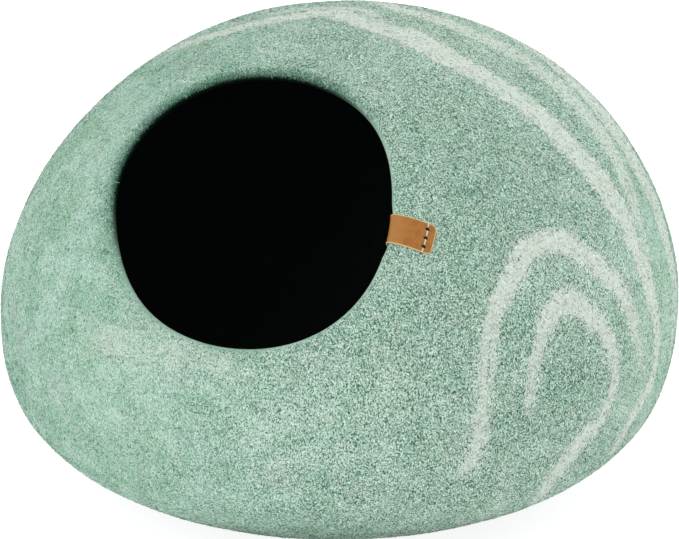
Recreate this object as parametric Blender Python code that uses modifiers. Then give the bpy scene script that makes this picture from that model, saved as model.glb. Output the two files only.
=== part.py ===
"""Felt cat cave: a hollow pebble of wool felt with a round doorway and a folded leather tag.

Frame: metres, +Z up. The origin is on the floor, under the middle of the cave. The doorway
looks up and out towards -Y, the front, a little to the left (-X) of it.
"""
import math

import bmesh
import bpy
from mathutils import Vector

# ---------------------------------------------------------------- the pebble (metres)
HALF_WIDTH = 0.240        # along X, at the widest level
HALF_DEPTH = 0.222        # along Y, at the widest level
WIDEST_LEVEL = 0.0983     # height of the widest level above the floor
CROWN_RISE = 0.2066       # from the widest level up to the crown
BELLY_DROP = 0.1053       # from the widest level down to where the round belly would end
CROWN_ROUNDNESS = 2.115   # exponent of the oval section: 2 is an ellipse, more is squarer
BELLY_ROUNDNESS = 2.686
ROUNDNESS_CHANGE = 0.35   # the exponent changes over this rise of the direction, up and down
CROWN_LEAN = Vector((0.0147, 0.038, 0.0))   # the crown sits right of and behind the middle
FLOOR_BLEND = 0.004       # half height of the soft turn from the belly into the flat base
WALL = 0.008              # thickness of the felt

# Lumps and hollows that hand felting leaves. Bearing is in degrees from the front towards +X,
# lift in degrees above the widest level, spread in degrees, height in metres outwards.
LUMPS = (
    # name             bearing  lift  spread  height
    ("right shoulder",      97,   12,     16,  0.0017),
    ("right hip",           72,  -16,     16, -0.0017),
    ("right crown",        130,   66,     18, -0.0013),
    ("left crown",        -120,   64,     16,  0.0018),
    ("left shoulder",     -112,   30,     26, -0.0010),
    ("left hip",           -40,  -22,     22,  0.0012),
    ("back swell",         165,   20,     24,  0.0022),
    ("back hollow",       -150,    4,     20, -0.0020),
)
LUMP_FADE = (0.004, 0.030)   # the lumps fade out between these heights, so the base stays flat

# ---------------------------------------------------------------- the doorway
DOOR_BEARING = -23.8      # degrees from the front towards +X
DOOR_LIFT = 45.0          # degrees
DOOR_RADIUS = 24.2        # degrees, seen from the middle of the widest level
DOOR_WAVES = (
    # waves round the rim, size in degrees, place of one peak in degrees from the right, upwards
    (1, 0.60, 135.0),
    (2, 2.20, -47.0),
    (3, 0.36, 28.0),
    (4, 0.43, -34.0),
)
RIM_ROLL_WIDTH = 4.2      # degrees over which the felt rolls in towards the doorway
RIM_ROLL_DEPTH = 0.0045   # how far in the edge has rolled
RIM_ROUND = 0.0036        # radius of the rounded edge, a little less than half the wall

# ---------------------------------------------------------------- the leather tag
TAG_PLACE = 1.4           # degrees round the rim from the right, upwards
TAG_LEAN = -0.09          # it sits askew: degrees round the rim for each degree from the doorway
TAG_SLANT = 0.09          # its ends are askew too: degrees further for each degree up the rim
TAG_PRESS = 0.35          # degrees by which it presses the doorway's edge back
TAG_PRESS_SPREAD = 9.0    # degrees round the rim that are pressed, to either side
TAG_WIDTH = 0.0203
TAG_THICKNESS = 0.0010
TAG_LEG = 0.0286          # length of each leg, from the doorway's edge
TAG_CORNER = 0.0035       # radius of the corners at the ends
TAG_GAP = 0.00045         # room between the leather and the felt's outer face
TAG_INNER_GAP = 0.0018    # the inner leg lies more loosely on the felt's inner face
FOLD_OPENING = 1.2        # power by which that room grows round the fold, from 0 to half a turn

# ---------------------------------------------------------------- steps of the meshes
RINGS = 32                # from the doorway to the middle of the base
RING_POINTS = 64
FIRST_STEP = 0.25         # the ring next to the doorway is this part of an even step away
LAST_RING = 0.93          # the face that closes the base starts here
LEG_ROWS = 7
CORNER_ROWS = 3
FOLD_ROWS = 7
TAG_COLUMNS = 6
HALVINGS = 30             # steps of the search for the doorway's edge
SMALL_TURN = 0.05         # degrees, for slopes of the felt's face
RIM_ROUND_STEPS = 3
RIM_EDGE_ANGLE = 60.0     # only edges that turn more than this are rounded

COLLECTION_NAME = "felt_cat_cave"
FELT_GREEN, FELT_ROUGHNESS = (0.34, 0.52, 0.42), 0.95
LEATHER_TAN, LEATHER_ROUGHNESS = (0.42, 0.20, 0.08), 0.6


def smooth_step(low, high, value):
    """0 below low, 1 above high, and an even S curve between them."""
    part = min(max((value - low) / (high - low), 0.0), 1.0)
    return part * part * (3 - 2 * part)


def direction(bearing, lift):
    """Unit vector for a bearing from the front and a lift, both in degrees."""
    turn, rise = math.radians(bearing), math.radians(lift)
    return Vector((math.sin(turn) * math.cos(rise), -math.cos(turn) * math.cos(rise), math.sin(rise)))


def angle_between(first, second):
    return math.degrees(first.angle(second))


def around(axis, place, reach):
    """The direction that lies reach degrees from axis, at place degrees round it from the right."""
    right = Vector((0, 0, 1)).cross(axis).normalized()
    up = axis.cross(right)
    spin, open_angle = math.radians(place), math.radians(reach)
    side = right * math.cos(spin) + up * math.sin(spin)
    return axis * math.cos(open_angle) + side * math.sin(open_angle)


DOOR_AXIS = direction(DOOR_BEARING, DOOR_LIFT)


def door_reach(place):
    """Angle from the doorway's axis to its edge, at place degrees round it."""
    waves = sum(size * math.cos(math.radians(count * (place - peak))) for count, size, peak in DOOR_WAVES)
    from_tag = (place - TAG_PLACE + 180) % 360 - 180
    pressed = TAG_PRESS * math.exp(-(from_tag / TAG_PRESS_SPREAD) ** 4)
    return DOOR_RADIUS + waves + pressed


def door_place(way):
    """Where a direction lies round the doorway's axis, in degrees from the right, upwards."""
    right = Vector((0, 0, 1)).cross(DOOR_AXIS).normalized()
    up = DOOR_AXIS.cross(right)
    return math.degrees(math.atan2(way.dot(up), way.dot(right)))


# ---------------------------------------------------------------- the outer face of the felt
def pebble_point(way):
    """The plain pebble in a direction from the middle of the widest level."""
    change = smooth_step(-ROUNDNESS_CHANGE, ROUNDNESS_CHANGE, way.z)
    power = BELLY_ROUNDNESS + (CROWN_ROUNDNESS - BELLY_ROUNDNESS) * change
    level = math.hypot(way.x, way.y)
    stretch = (level ** power + abs(way.z) ** power) ** (-1 / power)
    rise = CROWN_RISE if way.z > 0 else BELLY_DROP
    point = Vector((way.x * HALF_WIDTH, way.y * HALF_DEPTH, way.z * rise)) * stretch
    point += CROWN_LEAN * max(point.z / CROWN_RISE, 0.0) ** 2
    height = point.z + WIDEST_LEVEL
    if height < -FLOOR_BLEND:
        height = 0.0
    elif height < FLOOR_BLEND:
        height = (height + FLOOR_BLEND) ** 2 / (4 * FLOOR_BLEND)
    point.z = height
    return point


def felt_point(way):
    """The outer face of the felt: the pebble with its lumps and the roll at the doorway."""
    point = pebble_point(way)
    outwards = Vector((way.x / HALF_WIDTH, way.y / HALF_DEPTH, way.z / CROWN_RISE)).normalized()
    push = 0.0
    for _name, bearing, lift, spread, height in LUMPS:
        push += height * math.exp(-(angle_between(way, direction(bearing, lift)) / spread) ** 2)
    push *= smooth_step(*LUMP_FADE, point.z)
    from_edge = angle_between(way, DOOR_AXIS) - door_reach(door_place(way))
    push -= RIM_ROLL_DEPTH * max(1 - from_edge / RIM_ROLL_WIDTH, 0.0) ** 2
    return point + outwards * push


# ---------------------------------------------------------------- making the objects
def clear_scene():
    for thing in list(bpy.data.objects):
        bpy.data.objects.remove(thing, do_unlink=True)


def plain_material(name, colour, roughness):
    material = bpy.data.materials.new(name)
    material.use_nodes = True
    shader = material.node_tree.nodes["Principled BSDF"]
    shader.inputs["Base Color"].default_value = (*colour, 1.0)
    shader.inputs["Roughness"].default_value = roughness
    shader.inputs["Metallic"].default_value = 0.0
    return material


def add_object(name, mesh_data, material, collection):
    mesh = bpy.data.meshes.new(name)
    mesh_data.to_mesh(mesh)
    mesh_data.free()
    mesh.shade_smooth()
    mesh.materials.append(material)
    thing = bpy.data.objects.new(name, mesh)
    collection.objects.link(thing)
    return thing


def bridge(mesh_data, row, next_row, closed):
    """Quads between two rows of vertices."""
    count = len(row)
    for here in range(count if closed else count - 1):
        after = (here + 1) % count
        mesh_data.faces.new((row[here], next_row[here], next_row[after], row[after]))


def add_felt_shell(collection):
    """The cave is one felted sheet: rings run from the doorway's edge to the middle of the base.

    Each ring is a circle of directions. Its middle leans from the doorway's axis to straight up
    while it opens to half a turn, so the rings end round the middle of the flat base.
    """
    mesh_data = bmesh.new()
    upright = Vector((0, 0, 1))
    rows = []
    for ring in range(RINGS + 1):
        even = ring / RINGS
        along = LAST_RING * even * (FIRST_STEP + (1 - FIRST_STEP) * even)
        axis = DOOR_AXIS.slerp(upright, along)
        row = []
        for step in range(RING_POINTS):
            place = 360 * step / RING_POINTS
            reach = door_reach(place) + (180 - door_reach(place)) * along
            row.append(mesh_data.verts.new(felt_point(around(axis, place, reach))))
        rows.append(row)
    for row, next_row in zip(rows, rows[1:]):
        bridge(mesh_data, row, next_row, closed=True)
    mesh_data.faces.new(reversed(rows[-1]))

    wool = plain_material("felt", FELT_GREEN, FELT_ROUGHNESS)
    felt = add_object("felt_shell", mesh_data, wool, collection)
    wall = felt.modifiers.new("wall", "SOLIDIFY")
    wall.thickness = WALL
    wall.offset = -1.0
    wall.use_even_offset = True
    wall.use_quality_normals = True
    edge = felt.modifiers.new("rounded edge", "BEVEL")
    edge.width = RIM_ROUND
    edge.segments = RIM_ROUND_STEPS
    edge.limit_method = "ANGLE"
    edge.angle_limit = math.radians(RIM_EDGE_ANGLE)
    return felt


def tag_way(side, reach):
    """Direction on the tag: side degrees across its middle line, reach degrees from the doorway's axis."""
    middle = around(DOOR_AXIS, TAG_PLACE + TAG_LEAN * (reach - DOOR_RADIUS), reach)
    across = around(DOOR_AXIS, TAG_PLACE + 90, 90)
    turn = math.radians(side)
    return middle * math.cos(turn) + across * math.sin(turn)


def tag_edge_reach(side):
    """Reach at which a line along the tag meets the doorway's edge, found by halving."""
    low, high = 0.5 * DOOR_RADIUS, 1.5 * DOOR_RADIUS
    for _ in range(HALVINGS):
        middle = (low + high) / 2
        way = tag_way(side, middle)
        if angle_between(way, DOOR_AXIS) < door_reach(door_place(way)):
            low = middle
        else:
            high = middle
    return high


def tag_frame(side, reach):
    """Point of the felt's outer face under the tag, the outward normal and the way to the doorway."""
    point = felt_point(tag_way(side, reach))
    along = (felt_point(tag_way(side, reach + SMALL_TURN)) - point).normalized()
    across = (felt_point(tag_way(side + SMALL_TURN, reach)) - point).normalized()
    normal = along.cross(across).normalized()
    return point, normal, -along


def metres_per_degree():
    """How far one degree reaches on the felt beside the doorway, along the tag and across it."""
    edge = tag_edge_reach(0)
    middle, last = edge + RIM_ROLL_WIDTH, edge + 2 * RIM_ROLL_WIDTH
    along = (felt_point(tag_way(0, last)) - felt_point(tag_way(0, middle))).length / (last - middle)
    across = (felt_point(tag_way(1, middle)) - felt_point(tag_way(-1, middle))).length / 2
    return along, across


def leg_steps():
    """Rows of a leg from its end to the fold, each its distance from the end and its half width.

    The first rows are narrower by a quarter of a circle, which rounds the corners.
    """
    steps = []
    for row in range(CORNER_ROWS + 1):
        turn = math.pi / 2 * row / CORNER_ROWS
        half_width = TAG_WIDTH / 2 - TAG_CORNER * (1 - math.sin(turn))
        steps.append((TAG_CORNER * (1 - math.cos(turn)), half_width))
    straight = TAG_LEG - WALL / 2 - TAG_CORNER
    for row in range(1, LEG_ROWS + 1):
        steps.append((TAG_CORNER + straight * row / LEG_ROWS, TAG_WIDTH / 2))
    return steps


def leg_row(from_end, half_width, lift):
    """Points across a leg, lifted off the felt's outer face (or, below zero, sunk past it)."""
    along, across = metres_per_degree()
    slant = TAG_SLANT * (1 - from_end / (TAG_LEG - WALL / 2))
    row = []
    for column in range(TAG_COLUMNS + 1):
        side = half_width * (2 * column / TAG_COLUMNS - 1) / across
        reach = tag_edge_reach(side) + (TAG_LEG - from_end) / along + slant * side
        point, normal, _ = tag_frame(side, reach)
        row.append(point + normal * lift)
    return row


def fold_row(part_way, outer_lift, inner_lift):
    """Points across the fold, part of the half turn round the doorway's edge."""
    _, across = metres_per_degree()
    radius = WALL / 2 + outer_lift + (inner_lift - outer_lift) * part_way ** FOLD_OPENING
    turn = math.pi * part_way
    row = []
    for column in range(TAG_COLUMNS + 1):
        side = TAG_WIDTH / 2 * (2 * column / TAG_COLUMNS - 1) / across
        point, normal, doorwards = tag_frame(side, tag_edge_reach(side))
        middle = point - (normal + doorwards) * WALL / 2
        row.append(middle + (normal * math.cos(turn) + doorwards * math.sin(turn)) * radius)
    return row


def add_leather_tag(collection):
    """One strip of leather, folded over the doorway's right edge, with a leg on either side."""
    outer_lift = TAG_GAP + TAG_THICKNESS / 2
    inner_lift = TAG_INNER_GAP + TAG_THICKNESS / 2
    grid = [leg_row(from_end, half_width, outer_lift) for from_end, half_width in leg_steps()]
    for step in range(1, FOLD_ROWS + 1):
        grid.append(fold_row(step / (FOLD_ROWS + 1), outer_lift, inner_lift))
    for from_end, half_width in reversed(leg_steps()):
        grid.append(leg_row(from_end, half_width, -(WALL + inner_lift)))

    mesh_data = bmesh.new()
    rows = [[mesh_data.verts.new(point) for point in row] for row in grid]
    for row, next_row in zip(rows, rows[1:]):
        bridge(mesh_data, row, next_row, closed=False)
    bmesh.ops.recalc_face_normals(mesh_data, faces=mesh_data.faces)
    hide = plain_material("leather", LEATHER_TAN, LEATHER_ROUGHNESS)
    tag = add_object("leather_tag", mesh_data, hide, collection)
    body = tag.modifiers.new("thickness", "SOLIDIFY")
    body.thickness = TAG_THICKNESS
    body.offset = 0.0
    body.use_even_offset = True
    return tag


def main():
    clear_scene()
    collection = bpy.data.collections.new(COLLECTION_NAME)
    bpy.context.scene.collection.children.link(collection)
    add_felt_shell(collection)
    add_leather_tag(collection)


main()
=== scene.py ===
# %% [markdown]
# # A wool felt cat cave
# The real cave is one seamless piece of wool felt. Wool is laid in thin layers round a flat
# form, wetted with soapy water and rubbed until it felts, then the doorway is cut, the form is
# pulled out and the felt is stretched to a pebble and left to dry. Pale wool laid on last makes
# the bands. The only thing sewn on is a small leather tag, folded over the doorway's edge.
#
# The plain solid of the cave is already made, and it gives the size and the place of
# everything. This lesson dresses it. All lengths are in metres, +Z is up, the floor is z = 0
# and the front is towards -Y.

# %% Load the plain solids
import math

import bmesh
import bpy
import numpy as np
from mathutils import Matrix, Vector, kdtree, noise


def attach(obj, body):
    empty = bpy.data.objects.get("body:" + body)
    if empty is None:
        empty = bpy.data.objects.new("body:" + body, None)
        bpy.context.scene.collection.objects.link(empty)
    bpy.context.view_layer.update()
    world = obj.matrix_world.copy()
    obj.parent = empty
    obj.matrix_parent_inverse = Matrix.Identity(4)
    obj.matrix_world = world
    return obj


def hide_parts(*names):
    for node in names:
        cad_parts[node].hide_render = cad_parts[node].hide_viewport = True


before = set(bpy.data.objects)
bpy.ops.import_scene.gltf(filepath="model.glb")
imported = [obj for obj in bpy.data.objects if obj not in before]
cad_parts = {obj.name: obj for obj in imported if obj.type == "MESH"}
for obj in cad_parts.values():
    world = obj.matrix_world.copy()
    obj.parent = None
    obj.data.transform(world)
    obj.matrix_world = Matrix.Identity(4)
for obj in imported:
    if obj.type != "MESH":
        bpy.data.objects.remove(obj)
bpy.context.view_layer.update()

print("solids:", sorted(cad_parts))

# %% [markdown]
# ## Directions and smooth steps
# A pebble is easiest to describe from a point inside it: for each direction there is one point
# of the skin. A direction is a bearing, from the front towards +X, and a lift above the widest
# level. NumPy works on thousands of directions in one line, so the helpers take arrays.

# %% Helpers for directions
UPRIGHT = np.array((0.0, 0.0, 1.0))


def unit(vectors):
    return vectors / np.linalg.norm(vectors, axis=-1, keepdims=True)


def smooth_step(low, high, value):
    part = np.clip((value - low) / (high - low), 0.0, 1.0)
    return part * part * (3 - 2 * part)


def direction(bearing, lift):
    turn, rise = np.radians(bearing), np.radians(lift)
    level = np.cos(rise)
    return np.stack((np.sin(turn) * level, -np.cos(turn) * level, np.sin(rise)), axis=-1)


def angle_between(ways, way):
    return np.degrees(np.arccos(np.clip((ways * way).sum(-1), -1.0, 1.0)))


def right_and_up(axis):
    right = unit(np.cross(UPRIGHT, axis))
    return right, np.cross(axis, right)


def around(axis, place, reach):
    """Directions that lie reach degrees from axis, at place degrees round it from the right."""
    right, up = right_and_up(axis)
    spin, opened = np.radians(place)[..., None], np.radians(reach)[..., None]
    return axis * np.cos(opened) + (right * np.cos(spin) + up * np.sin(spin)) * np.sin(opened)


print("front:", direction(0.0, 0.0), "crown:", direction(0.0, 90.0).round(3))

# %% [markdown]
# ## The pebble and its doorway
# A stretched ball of felt isn't an ellipsoid: the belly is squarer than the crown, the crown
# leans back, and hands leave broad lumps. So the skin is a superellipse with a lean, a flat
# base and a short table of lumps. The doorway is a circle of directions with a few slow waves,
# and the felt rolls in a little towards it. These are the sizes of the plain solid.

# %% Sizes of the felt
HALF_WIDTH, HALF_DEPTH = 0.240, 0.222
WIDEST_LEVEL = 0.0983
CROWN_RISE, BELLY_DROP = 0.2066, 0.1053
CROWN_ROUNDNESS, BELLY_ROUNDNESS, ROUNDNESS_CHANGE = 2.115, 2.686, 0.35
CROWN_LEAN = np.array((0.0147, 0.038, 0.0))
FLOOR_BLEND = 0.004
WALL = 0.008
LUMPS = (
    # name             bearing  lift  spread  height
    ("right shoulder",      97,   12,     16,  0.0017),
    ("right hip",           72,  -16,     16, -0.0017),
    ("right crown",        130,   66,     18, -0.0013),
    ("left crown",        -120,   64,     16,  0.0018),
    ("left shoulder",     -112,   30,     26, -0.0010),
    ("left hip",           -40,  -22,     22,  0.0012),
    ("back swell",         165,   20,     24,  0.0022),
    ("back hollow",       -150,    4,     20, -0.0020),
)
LUMP_FADE = (0.004, 0.030)
DOOR_AXIS = direction(-23.8, 45.0)
DOOR_RADIUS = 24.2
DOOR_WAVES = ((1, 0.60, 135.0), (2, 2.20, -47.0), (3, 0.36, 28.0), (4, 0.43, -34.0))
RIM_ROLL_WIDTH, RIM_ROLL_DEPTH = 4.2, 0.0045
TAG_PLACE = 1.4             # degrees round the doorway from its right: there the tag sits
TAG_PRESS, TAG_PRESS_SPREAD = 0.35, 9.0     # degrees: it presses the edge back, this far round
print(f"felt: {2 * HALF_WIDTH} m wide, {2 * HALF_DEPTH} m deep, {WALL * 1000:.0f} mm thick")

# %% The skin of the felt
def door_reach(place):
    """Angle from the doorway's axis to its edge, at place degrees round it."""
    waves = sum(size * np.cos(np.radians(count * (place - peak))) for count, size, peak in DOOR_WAVES)
    from_tag = (place - TAG_PLACE + 180) % 360 - 180
    return DOOR_RADIUS + waves + TAG_PRESS * np.exp(-(from_tag / TAG_PRESS_SPREAD) ** 4)


def door_place(ways):
    right, up = right_and_up(DOOR_AXIS)
    return np.degrees(np.arctan2(ways @ up, ways @ right))


def pebble_point(ways):
    rise_of_way = ways[..., 2]
    change = smooth_step(-ROUNDNESS_CHANGE, ROUNDNESS_CHANGE, rise_of_way)
    power = BELLY_ROUNDNESS + (CROWN_ROUNDNESS - BELLY_ROUNDNESS) * change
    level = np.hypot(ways[..., 0], ways[..., 1])
    stretch = (level ** power + np.abs(rise_of_way) ** power) ** (-1 / power)
    rise = np.where(rise_of_way > 0, CROWN_RISE, BELLY_DROP)
    sizes = np.stack((np.full_like(rise, HALF_WIDTH), np.full_like(rise, HALF_DEPTH), rise), axis=-1)
    points = ways * stretch[..., None] * sizes
    points += CROWN_LEAN * (np.maximum(points[..., 2:] / CROWN_RISE, 0.0) ** 2)
    height = points[..., 2] + WIDEST_LEVEL
    blended = (np.maximum(height, -FLOOR_BLEND) + FLOOR_BLEND) ** 2 / (4 * FLOOR_BLEND)
    points[..., 2] = np.where(height < FLOOR_BLEND, blended, height)
    return points


def fading(ways, bearing, lift, spread):
    """1 in one direction, fading away over spread degrees round it."""
    return np.exp(-(angle_between(ways, direction(bearing, lift)) / spread) ** 2)


def felt_point(ways):
    """The outer face of the felt: the pebble with its lumps and the roll at the doorway."""
    points = pebble_point(ways)
    outwards = unit(ways / np.array((HALF_WIDTH, HALF_DEPTH, CROWN_RISE)))
    push = np.zeros(ways.shape[:-1])
    for _name, bearing, lift, spread, height in LUMPS:
        push += height * fading(ways, bearing, lift, spread)
    push *= smooth_step(*LUMP_FADE, points[..., 2])
    from_edge = angle_between(ways, DOOR_AXIS) - door_reach(door_place(ways))
    push -= RIM_ROLL_DEPTH * np.maximum(1 - from_edge / RIM_ROLL_WIDTH, 0.0) ** 2
    return points + outwards * push[..., None]


print("crown height:", felt_point(direction(np.array([0.0]), np.array([90.0])))[0].round(4))

# %% [markdown]
# ## The felt wall as rings
# A felt cave has no seams and no edges but the doorway, so the mesh is rings that start at the
# doorway's edge and open out, over the crown and the belly, to the middle of the base. The same
# rings, one wall further in, make the inner face, and half a turn joins both at the doorway. A
# ball of subdivided quads would need the doorway cut through it, with ragged edges there.

# %% Rings of the outer face
RINGS, PLACES = 120, 288
FIRST_STEP = 0.35           # rings lie closer together beside the doorway
LAST_RING = 0.985
RIM_START = 0.95            # degrees from the doorway's edge to where its rounding starts
HAND_MARKS = (              # soft unevenness that rubbing leaves
    # wavelength, height
    (0.034, 0.00040),
    (0.011, 0.00013),
)
MARKS_START = (0.020, 0.045)   # they grow between these ways from the edge, clear of the tag


def ring_ways():
    even = np.linspace(0.0, 1.0, RINGS + 1)
    along = LAST_RING * even * (FIRST_STEP + (1 - FIRST_STEP) * even)
    turn = math.acos(DOOR_AXIS[2])
    axes = np.outer(np.sin((1 - along) * turn), DOOR_AXIS) + np.outer(np.sin(along * turn), UPRIGHT)
    axes = unit(axes)[:, None, :]
    places = np.arange(PLACES) * 360 / PLACES
    start = door_reach(places) + RIM_START
    reach = start + (180 - start) * along[:, None]
    return around(axes, np.broadcast_to(places, reach.shape), reach)


def ring_normals(points):
    down_the_rings = np.gradient(points, axis=0)
    round_the_ring = np.roll(points, -1, axis=1) - np.roll(points, 1, axis=1)
    return unit(np.cross(down_the_rings, round_the_ring))


def noise_at(points, wavelength):
    return np.array([noise.noise(Vector(point) / wavelength) for point in points])


def hand_marks(points):
    push = sum(height * noise_at(points.reshape(-1, 3), wavelength) for wavelength, height in HAND_MARKS)
    push = push.reshape(points.shape[:-1]) * smooth_step(*LUMP_FADE, points[..., 2])
    return push * smooth_step(*MARKS_START, np.linalg.norm(points - points[:1], axis=-1))


outer_ways = ring_ways()
outer = felt_point(outer_ways)
normals = ring_normals(outer)
if (normals * (outer - outer.mean(axis=(0, 1)))).sum(-1).mean() < 0:
    normals = -normals
outer = outer + normals * hand_marks(outer)[..., None]
print("outer face:", outer.shape[:2], "rings and places")

# %% Close the wall: rim, inner face and the middles of the base
RIM_STEPS = 10
INNER_SKIP = 2              # the inner face needs only every second ring


def rim_rings():
    """Half a turn from the outer to the inner face, round the doorway's edge."""
    doorwards = outer[0] - outer[1]
    doorwards = unit(doorwards - normals[0] * (doorwards * normals[0]).sum(-1, keepdims=True))
    middle = outer[0] - normals[0] * WALL / 2
    turns = np.pi * np.arange(1, RIM_STEPS) / RIM_STEPS
    return [middle + (normals[0] * math.cos(t) + doorwards * math.sin(t)) * WALL / 2 for t in turns]


inner = (outer - normals * WALL)[::INNER_SKIP]
rings = np.array([*inner[::-1], *rim_rings()[::-1], *outer])
middles = np.array((rings[0].mean(axis=0), rings[-1].mean(axis=0)))
shell_points = np.concatenate((rings.reshape(-1, 3), middles))
print("wall:", len(rings), "rings,", len(shell_points), "points")

# %% [markdown]
# ## How far each point is from the doorway's edge
# The wool outside is green and the wool inside is nearly black, and they meet in the rounded
# edge. A number stored on each point, the way along the felt from the middle of that edge, lets
# the material blend the two. It is below zero on the inside.

# %% Way from the doorway's edge
def way_along(points):
    """How far each row of points is from the first, measured along the rows."""
    steps = np.linalg.norm(np.diff(points, axis=0), axis=-1)
    return np.concatenate((np.zeros((1, *steps.shape[1:])), np.cumsum(steps, axis=0)))


EDGE_RING = len(inner) + RIM_STEPS // 2 - 1
edge_way = way_along(rings)
edge_way = edge_way - edge_way[EDGE_RING]
print(f"way from the edge: {edge_way.min():.3f} to {edge_way.max():.3f} m")

# %% [markdown]
# ## The pale bands
# The maker lays thin strands of pale wool on the wet green wool, by eye, so the bands wander,
# swell and thin out. Each band here is a row of given points with a half width and a
# strength, joined by a smooth curve. Painting them on a picture would need a flat map of a round
# thing. Measuring how far each point of the felt is from the curve needs none.
# The haze on the right shoulder is no band of wool: it is a painted highlight, the rim light along that
# outline laid on as pale wool.

# %% Bands as short tables
BANDS = {
    # bearing, lift, half width in mm, strength
    "over the crown": (
        (-158, 5, 3.0, 0.0), (-150, 22, 6.0, 0.6), (-135, 38, 7.0, 0.8), (-117, 50, 7.0, 0.7),
        (-105, 59, 7.5, 0.8), (-102, 65, 8.0, 0.9), (-104, 71, 8.5, 0.9), (-109, 76, 9.0, 1.0),
        (-138, 82.6, 12.0, 1.0), (-149, 86.8, 14.5, 1.0), (68, 86.4, 15.5, 1.0), (56, 81.5, 15.0, 1.0),
        (52.5, 76, 13.5, 1.0), (52.2, 71.2, 12.5, 1.0), (55, 65, 11.5, 0.95), (56.5, 59, 11.5, 0.95),
        (59, 53.5, 11.5, 1.0), (60, 46, 12.0, 0.95), (62, 38.5, 12.5, 0.9), (63, 30, 11.5, 0.9),
        (63.7, 20, 9.0, 0.95), (63.7, 14, 7.5, 0.95), (64, 5.5, 6.5, 0.95), (61.4, -1, 6.5, 0.95),
        (58, -5.5, 6.5, 0.95), (54.2, -11, 6.5, 0.9), (52.3, -17.7, 6.0, 0.8), (51.2, -22, 5.0, 0.5),
        (50.5, -27, 2.0, 0.0),
    ),
    "down the right": (
        (-165, 10, 3.0, 0.0), (-168, 28, 4.5, 0.7), (-175, 45, 6.0, 0.9), (176, 62, 8.0, 0.9),
        (168, 72.5, 9.5, 0.95), (145, 77.5, 10.5, 0.95), (119, 76, 11.0, 0.9), (103, 73, 11.5, 0.85),
        (94.5, 69.5, 11.5, 0.8), (89.5, 64.5, 12.0, 0.75), (85, 58, 12.0, 0.7), (80, 51.5, 12.0, 0.75),
        (77, 44, 11.5, 0.75), (73.5, 38, 10.0, 0.75), (69.5, 31.5, 8.0, 0.7), (67, 24, 5.0, 0.4),
    ),
    # painted highlight: rim light along the right outline, laid on as a wide pale band
    "painted rim light on the right shoulder": (
        (155, 68, 3.0, 0.0), (143, 65, 9.0, 0.6), (129, 62, 14.0, 0.75), (117, 57.5, 17.0, 0.8),
        (106, 53.5, 19.0, 0.85), (96, 48.5, 20.0, 0.85), (90, 43, 20.0, 0.85), (86, 37.5, 18.0, 0.8),
        (83, 31.5, 16.0, 0.8), (82, 26, 15.0, 0.8), (80.5, 21, 14.0, 0.8), (79, 15, 13.0, 0.7),
        (77, 8, 11.0, 0.5), (74, 0.5, 8.0, 0.4), (68, -10, 4.0, 0.0),
    ),
    "outer arch": (
        (19, -10, 3.0, 0.0), (20, -3, 6.0, 0.7), (21.6, 4, 6.5, 0.8), (23, 14, 6.5, 0.75),
        (25, 23.5, 7.0, 0.85), (31, 31, 8.5, 1.0), (36, 34, 9.0, 1.0), (42, 33.5, 9.0, 1.0),
        (47, 30, 8.5, 1.0), (51.5, 25, 8.0, 1.0), (55, 19, 7.5, 0.95), (56, 13, 7.0, 0.8),
        (57, 8, 6.0, 0.6), (57.5, 2, 4.0, 0.0),
    ),
    "inner arch": (
        (30.2, 5, 3.0, 0.0), (30.5, 8.5, 4.5, 0.8), (31.5, 14, 5.0, 0.85), (33.7, 19, 6.0, 0.9),
        (36.5, 22.5, 8.0, 1.0), (41, 23.5, 9.5, 1.0), (45, 20, 8.5, 1.0), (48.3, 14.5, 6.5, 0.95),
        (49.2, 9, 5.5, 0.9), (48.8, 5, 5.5, 0.9), (46.7, 1.4, 6.0, 0.9), (42.2, -4.4, 7.0, 0.9),
        (38.3, -11.8, 7.5, 0.9), (36.3, -18.3, 7.5, 0.85), (35.5, -25, 7.0, 0.8),
        (35.5, -31, 5.0, 0.4), (36, -37, 2.0, 0.0),
    ),
    "thin wool under the doorway": (
        (-47, 17.5, 4.0, 0.0), (-43, 17.5, 9.0, 0.3), (-37, 17, 11.0, 0.3), (-31.5, 17.3, 9.0, 0.2),
        (-25.5, 18.5, 9.5, 0.35), (-20, 18.3, 9.0, 0.35), (-15, 17, 6.0, 0.15), (-11, 16, 3.0, 0.0),
    ),
    "wisp by the crown": (
        (-118, 69, 2.0, 0.0), (-122, 72.5, 4.0, 0.5), (-131, 76, 5.0, 0.7), (-144, 79, 5.5, 0.8),
        (-164, 81.5, 5.5, 0.8), (176, 83, 5.5, 0.8), (127, 86, 5.0, 0.6), (82, 84, 3.0, 0.0),
    ),
}
STEPS_A_LEG = 24            # of the smooth curve between two points


def smooth_curve(columns):
    """A curve through every row of columns (a Catmull-Rom spline)."""
    rows = np.concatenate((columns[:1], columns, columns[-1:]))
    part = (np.arange(STEPS_A_LEG) / STEPS_A_LEG)[:, None]
    legs = []
    for before, here, there, after in zip(rows, rows[1:], rows[2:], rows[3:]):
        slope, bend = there - before, 2 * before - 5 * here + 4 * there - after
        twist = 3 * (here - there) + after - before
        legs.append(here + 0.5 * part * (slope + part * (bend + part * twist)))
    return np.concatenate((*legs, columns[-1:]))


print("bands:", {name: len(table) for name, table in BANDS.items()})

# %% Distance to the bands
MILLIMETRE = 0.001


def band_samples():
    """Places, headings, ways along, half widths and strengths of all the bands' curves."""
    found = []
    for number, table in enumerate(BANDS.values()):
        table = np.array(table, dtype=float)
        curve = smooth_curve(np.column_stack((direction(table[:, 0], table[:, 1]), table[:, 2:])))
        points = felt_point(unit(curve[:, :3]))
        headings = unit(np.gradient(points, axis=0))
        sizes = np.clip(curve[:, 3:] * (MILLIMETRE, 1.0), 0.0, 1.0)
        found.append(np.column_stack((points, headings, way_along(points) + number, sizes)))
    return np.concatenate(found)


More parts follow.
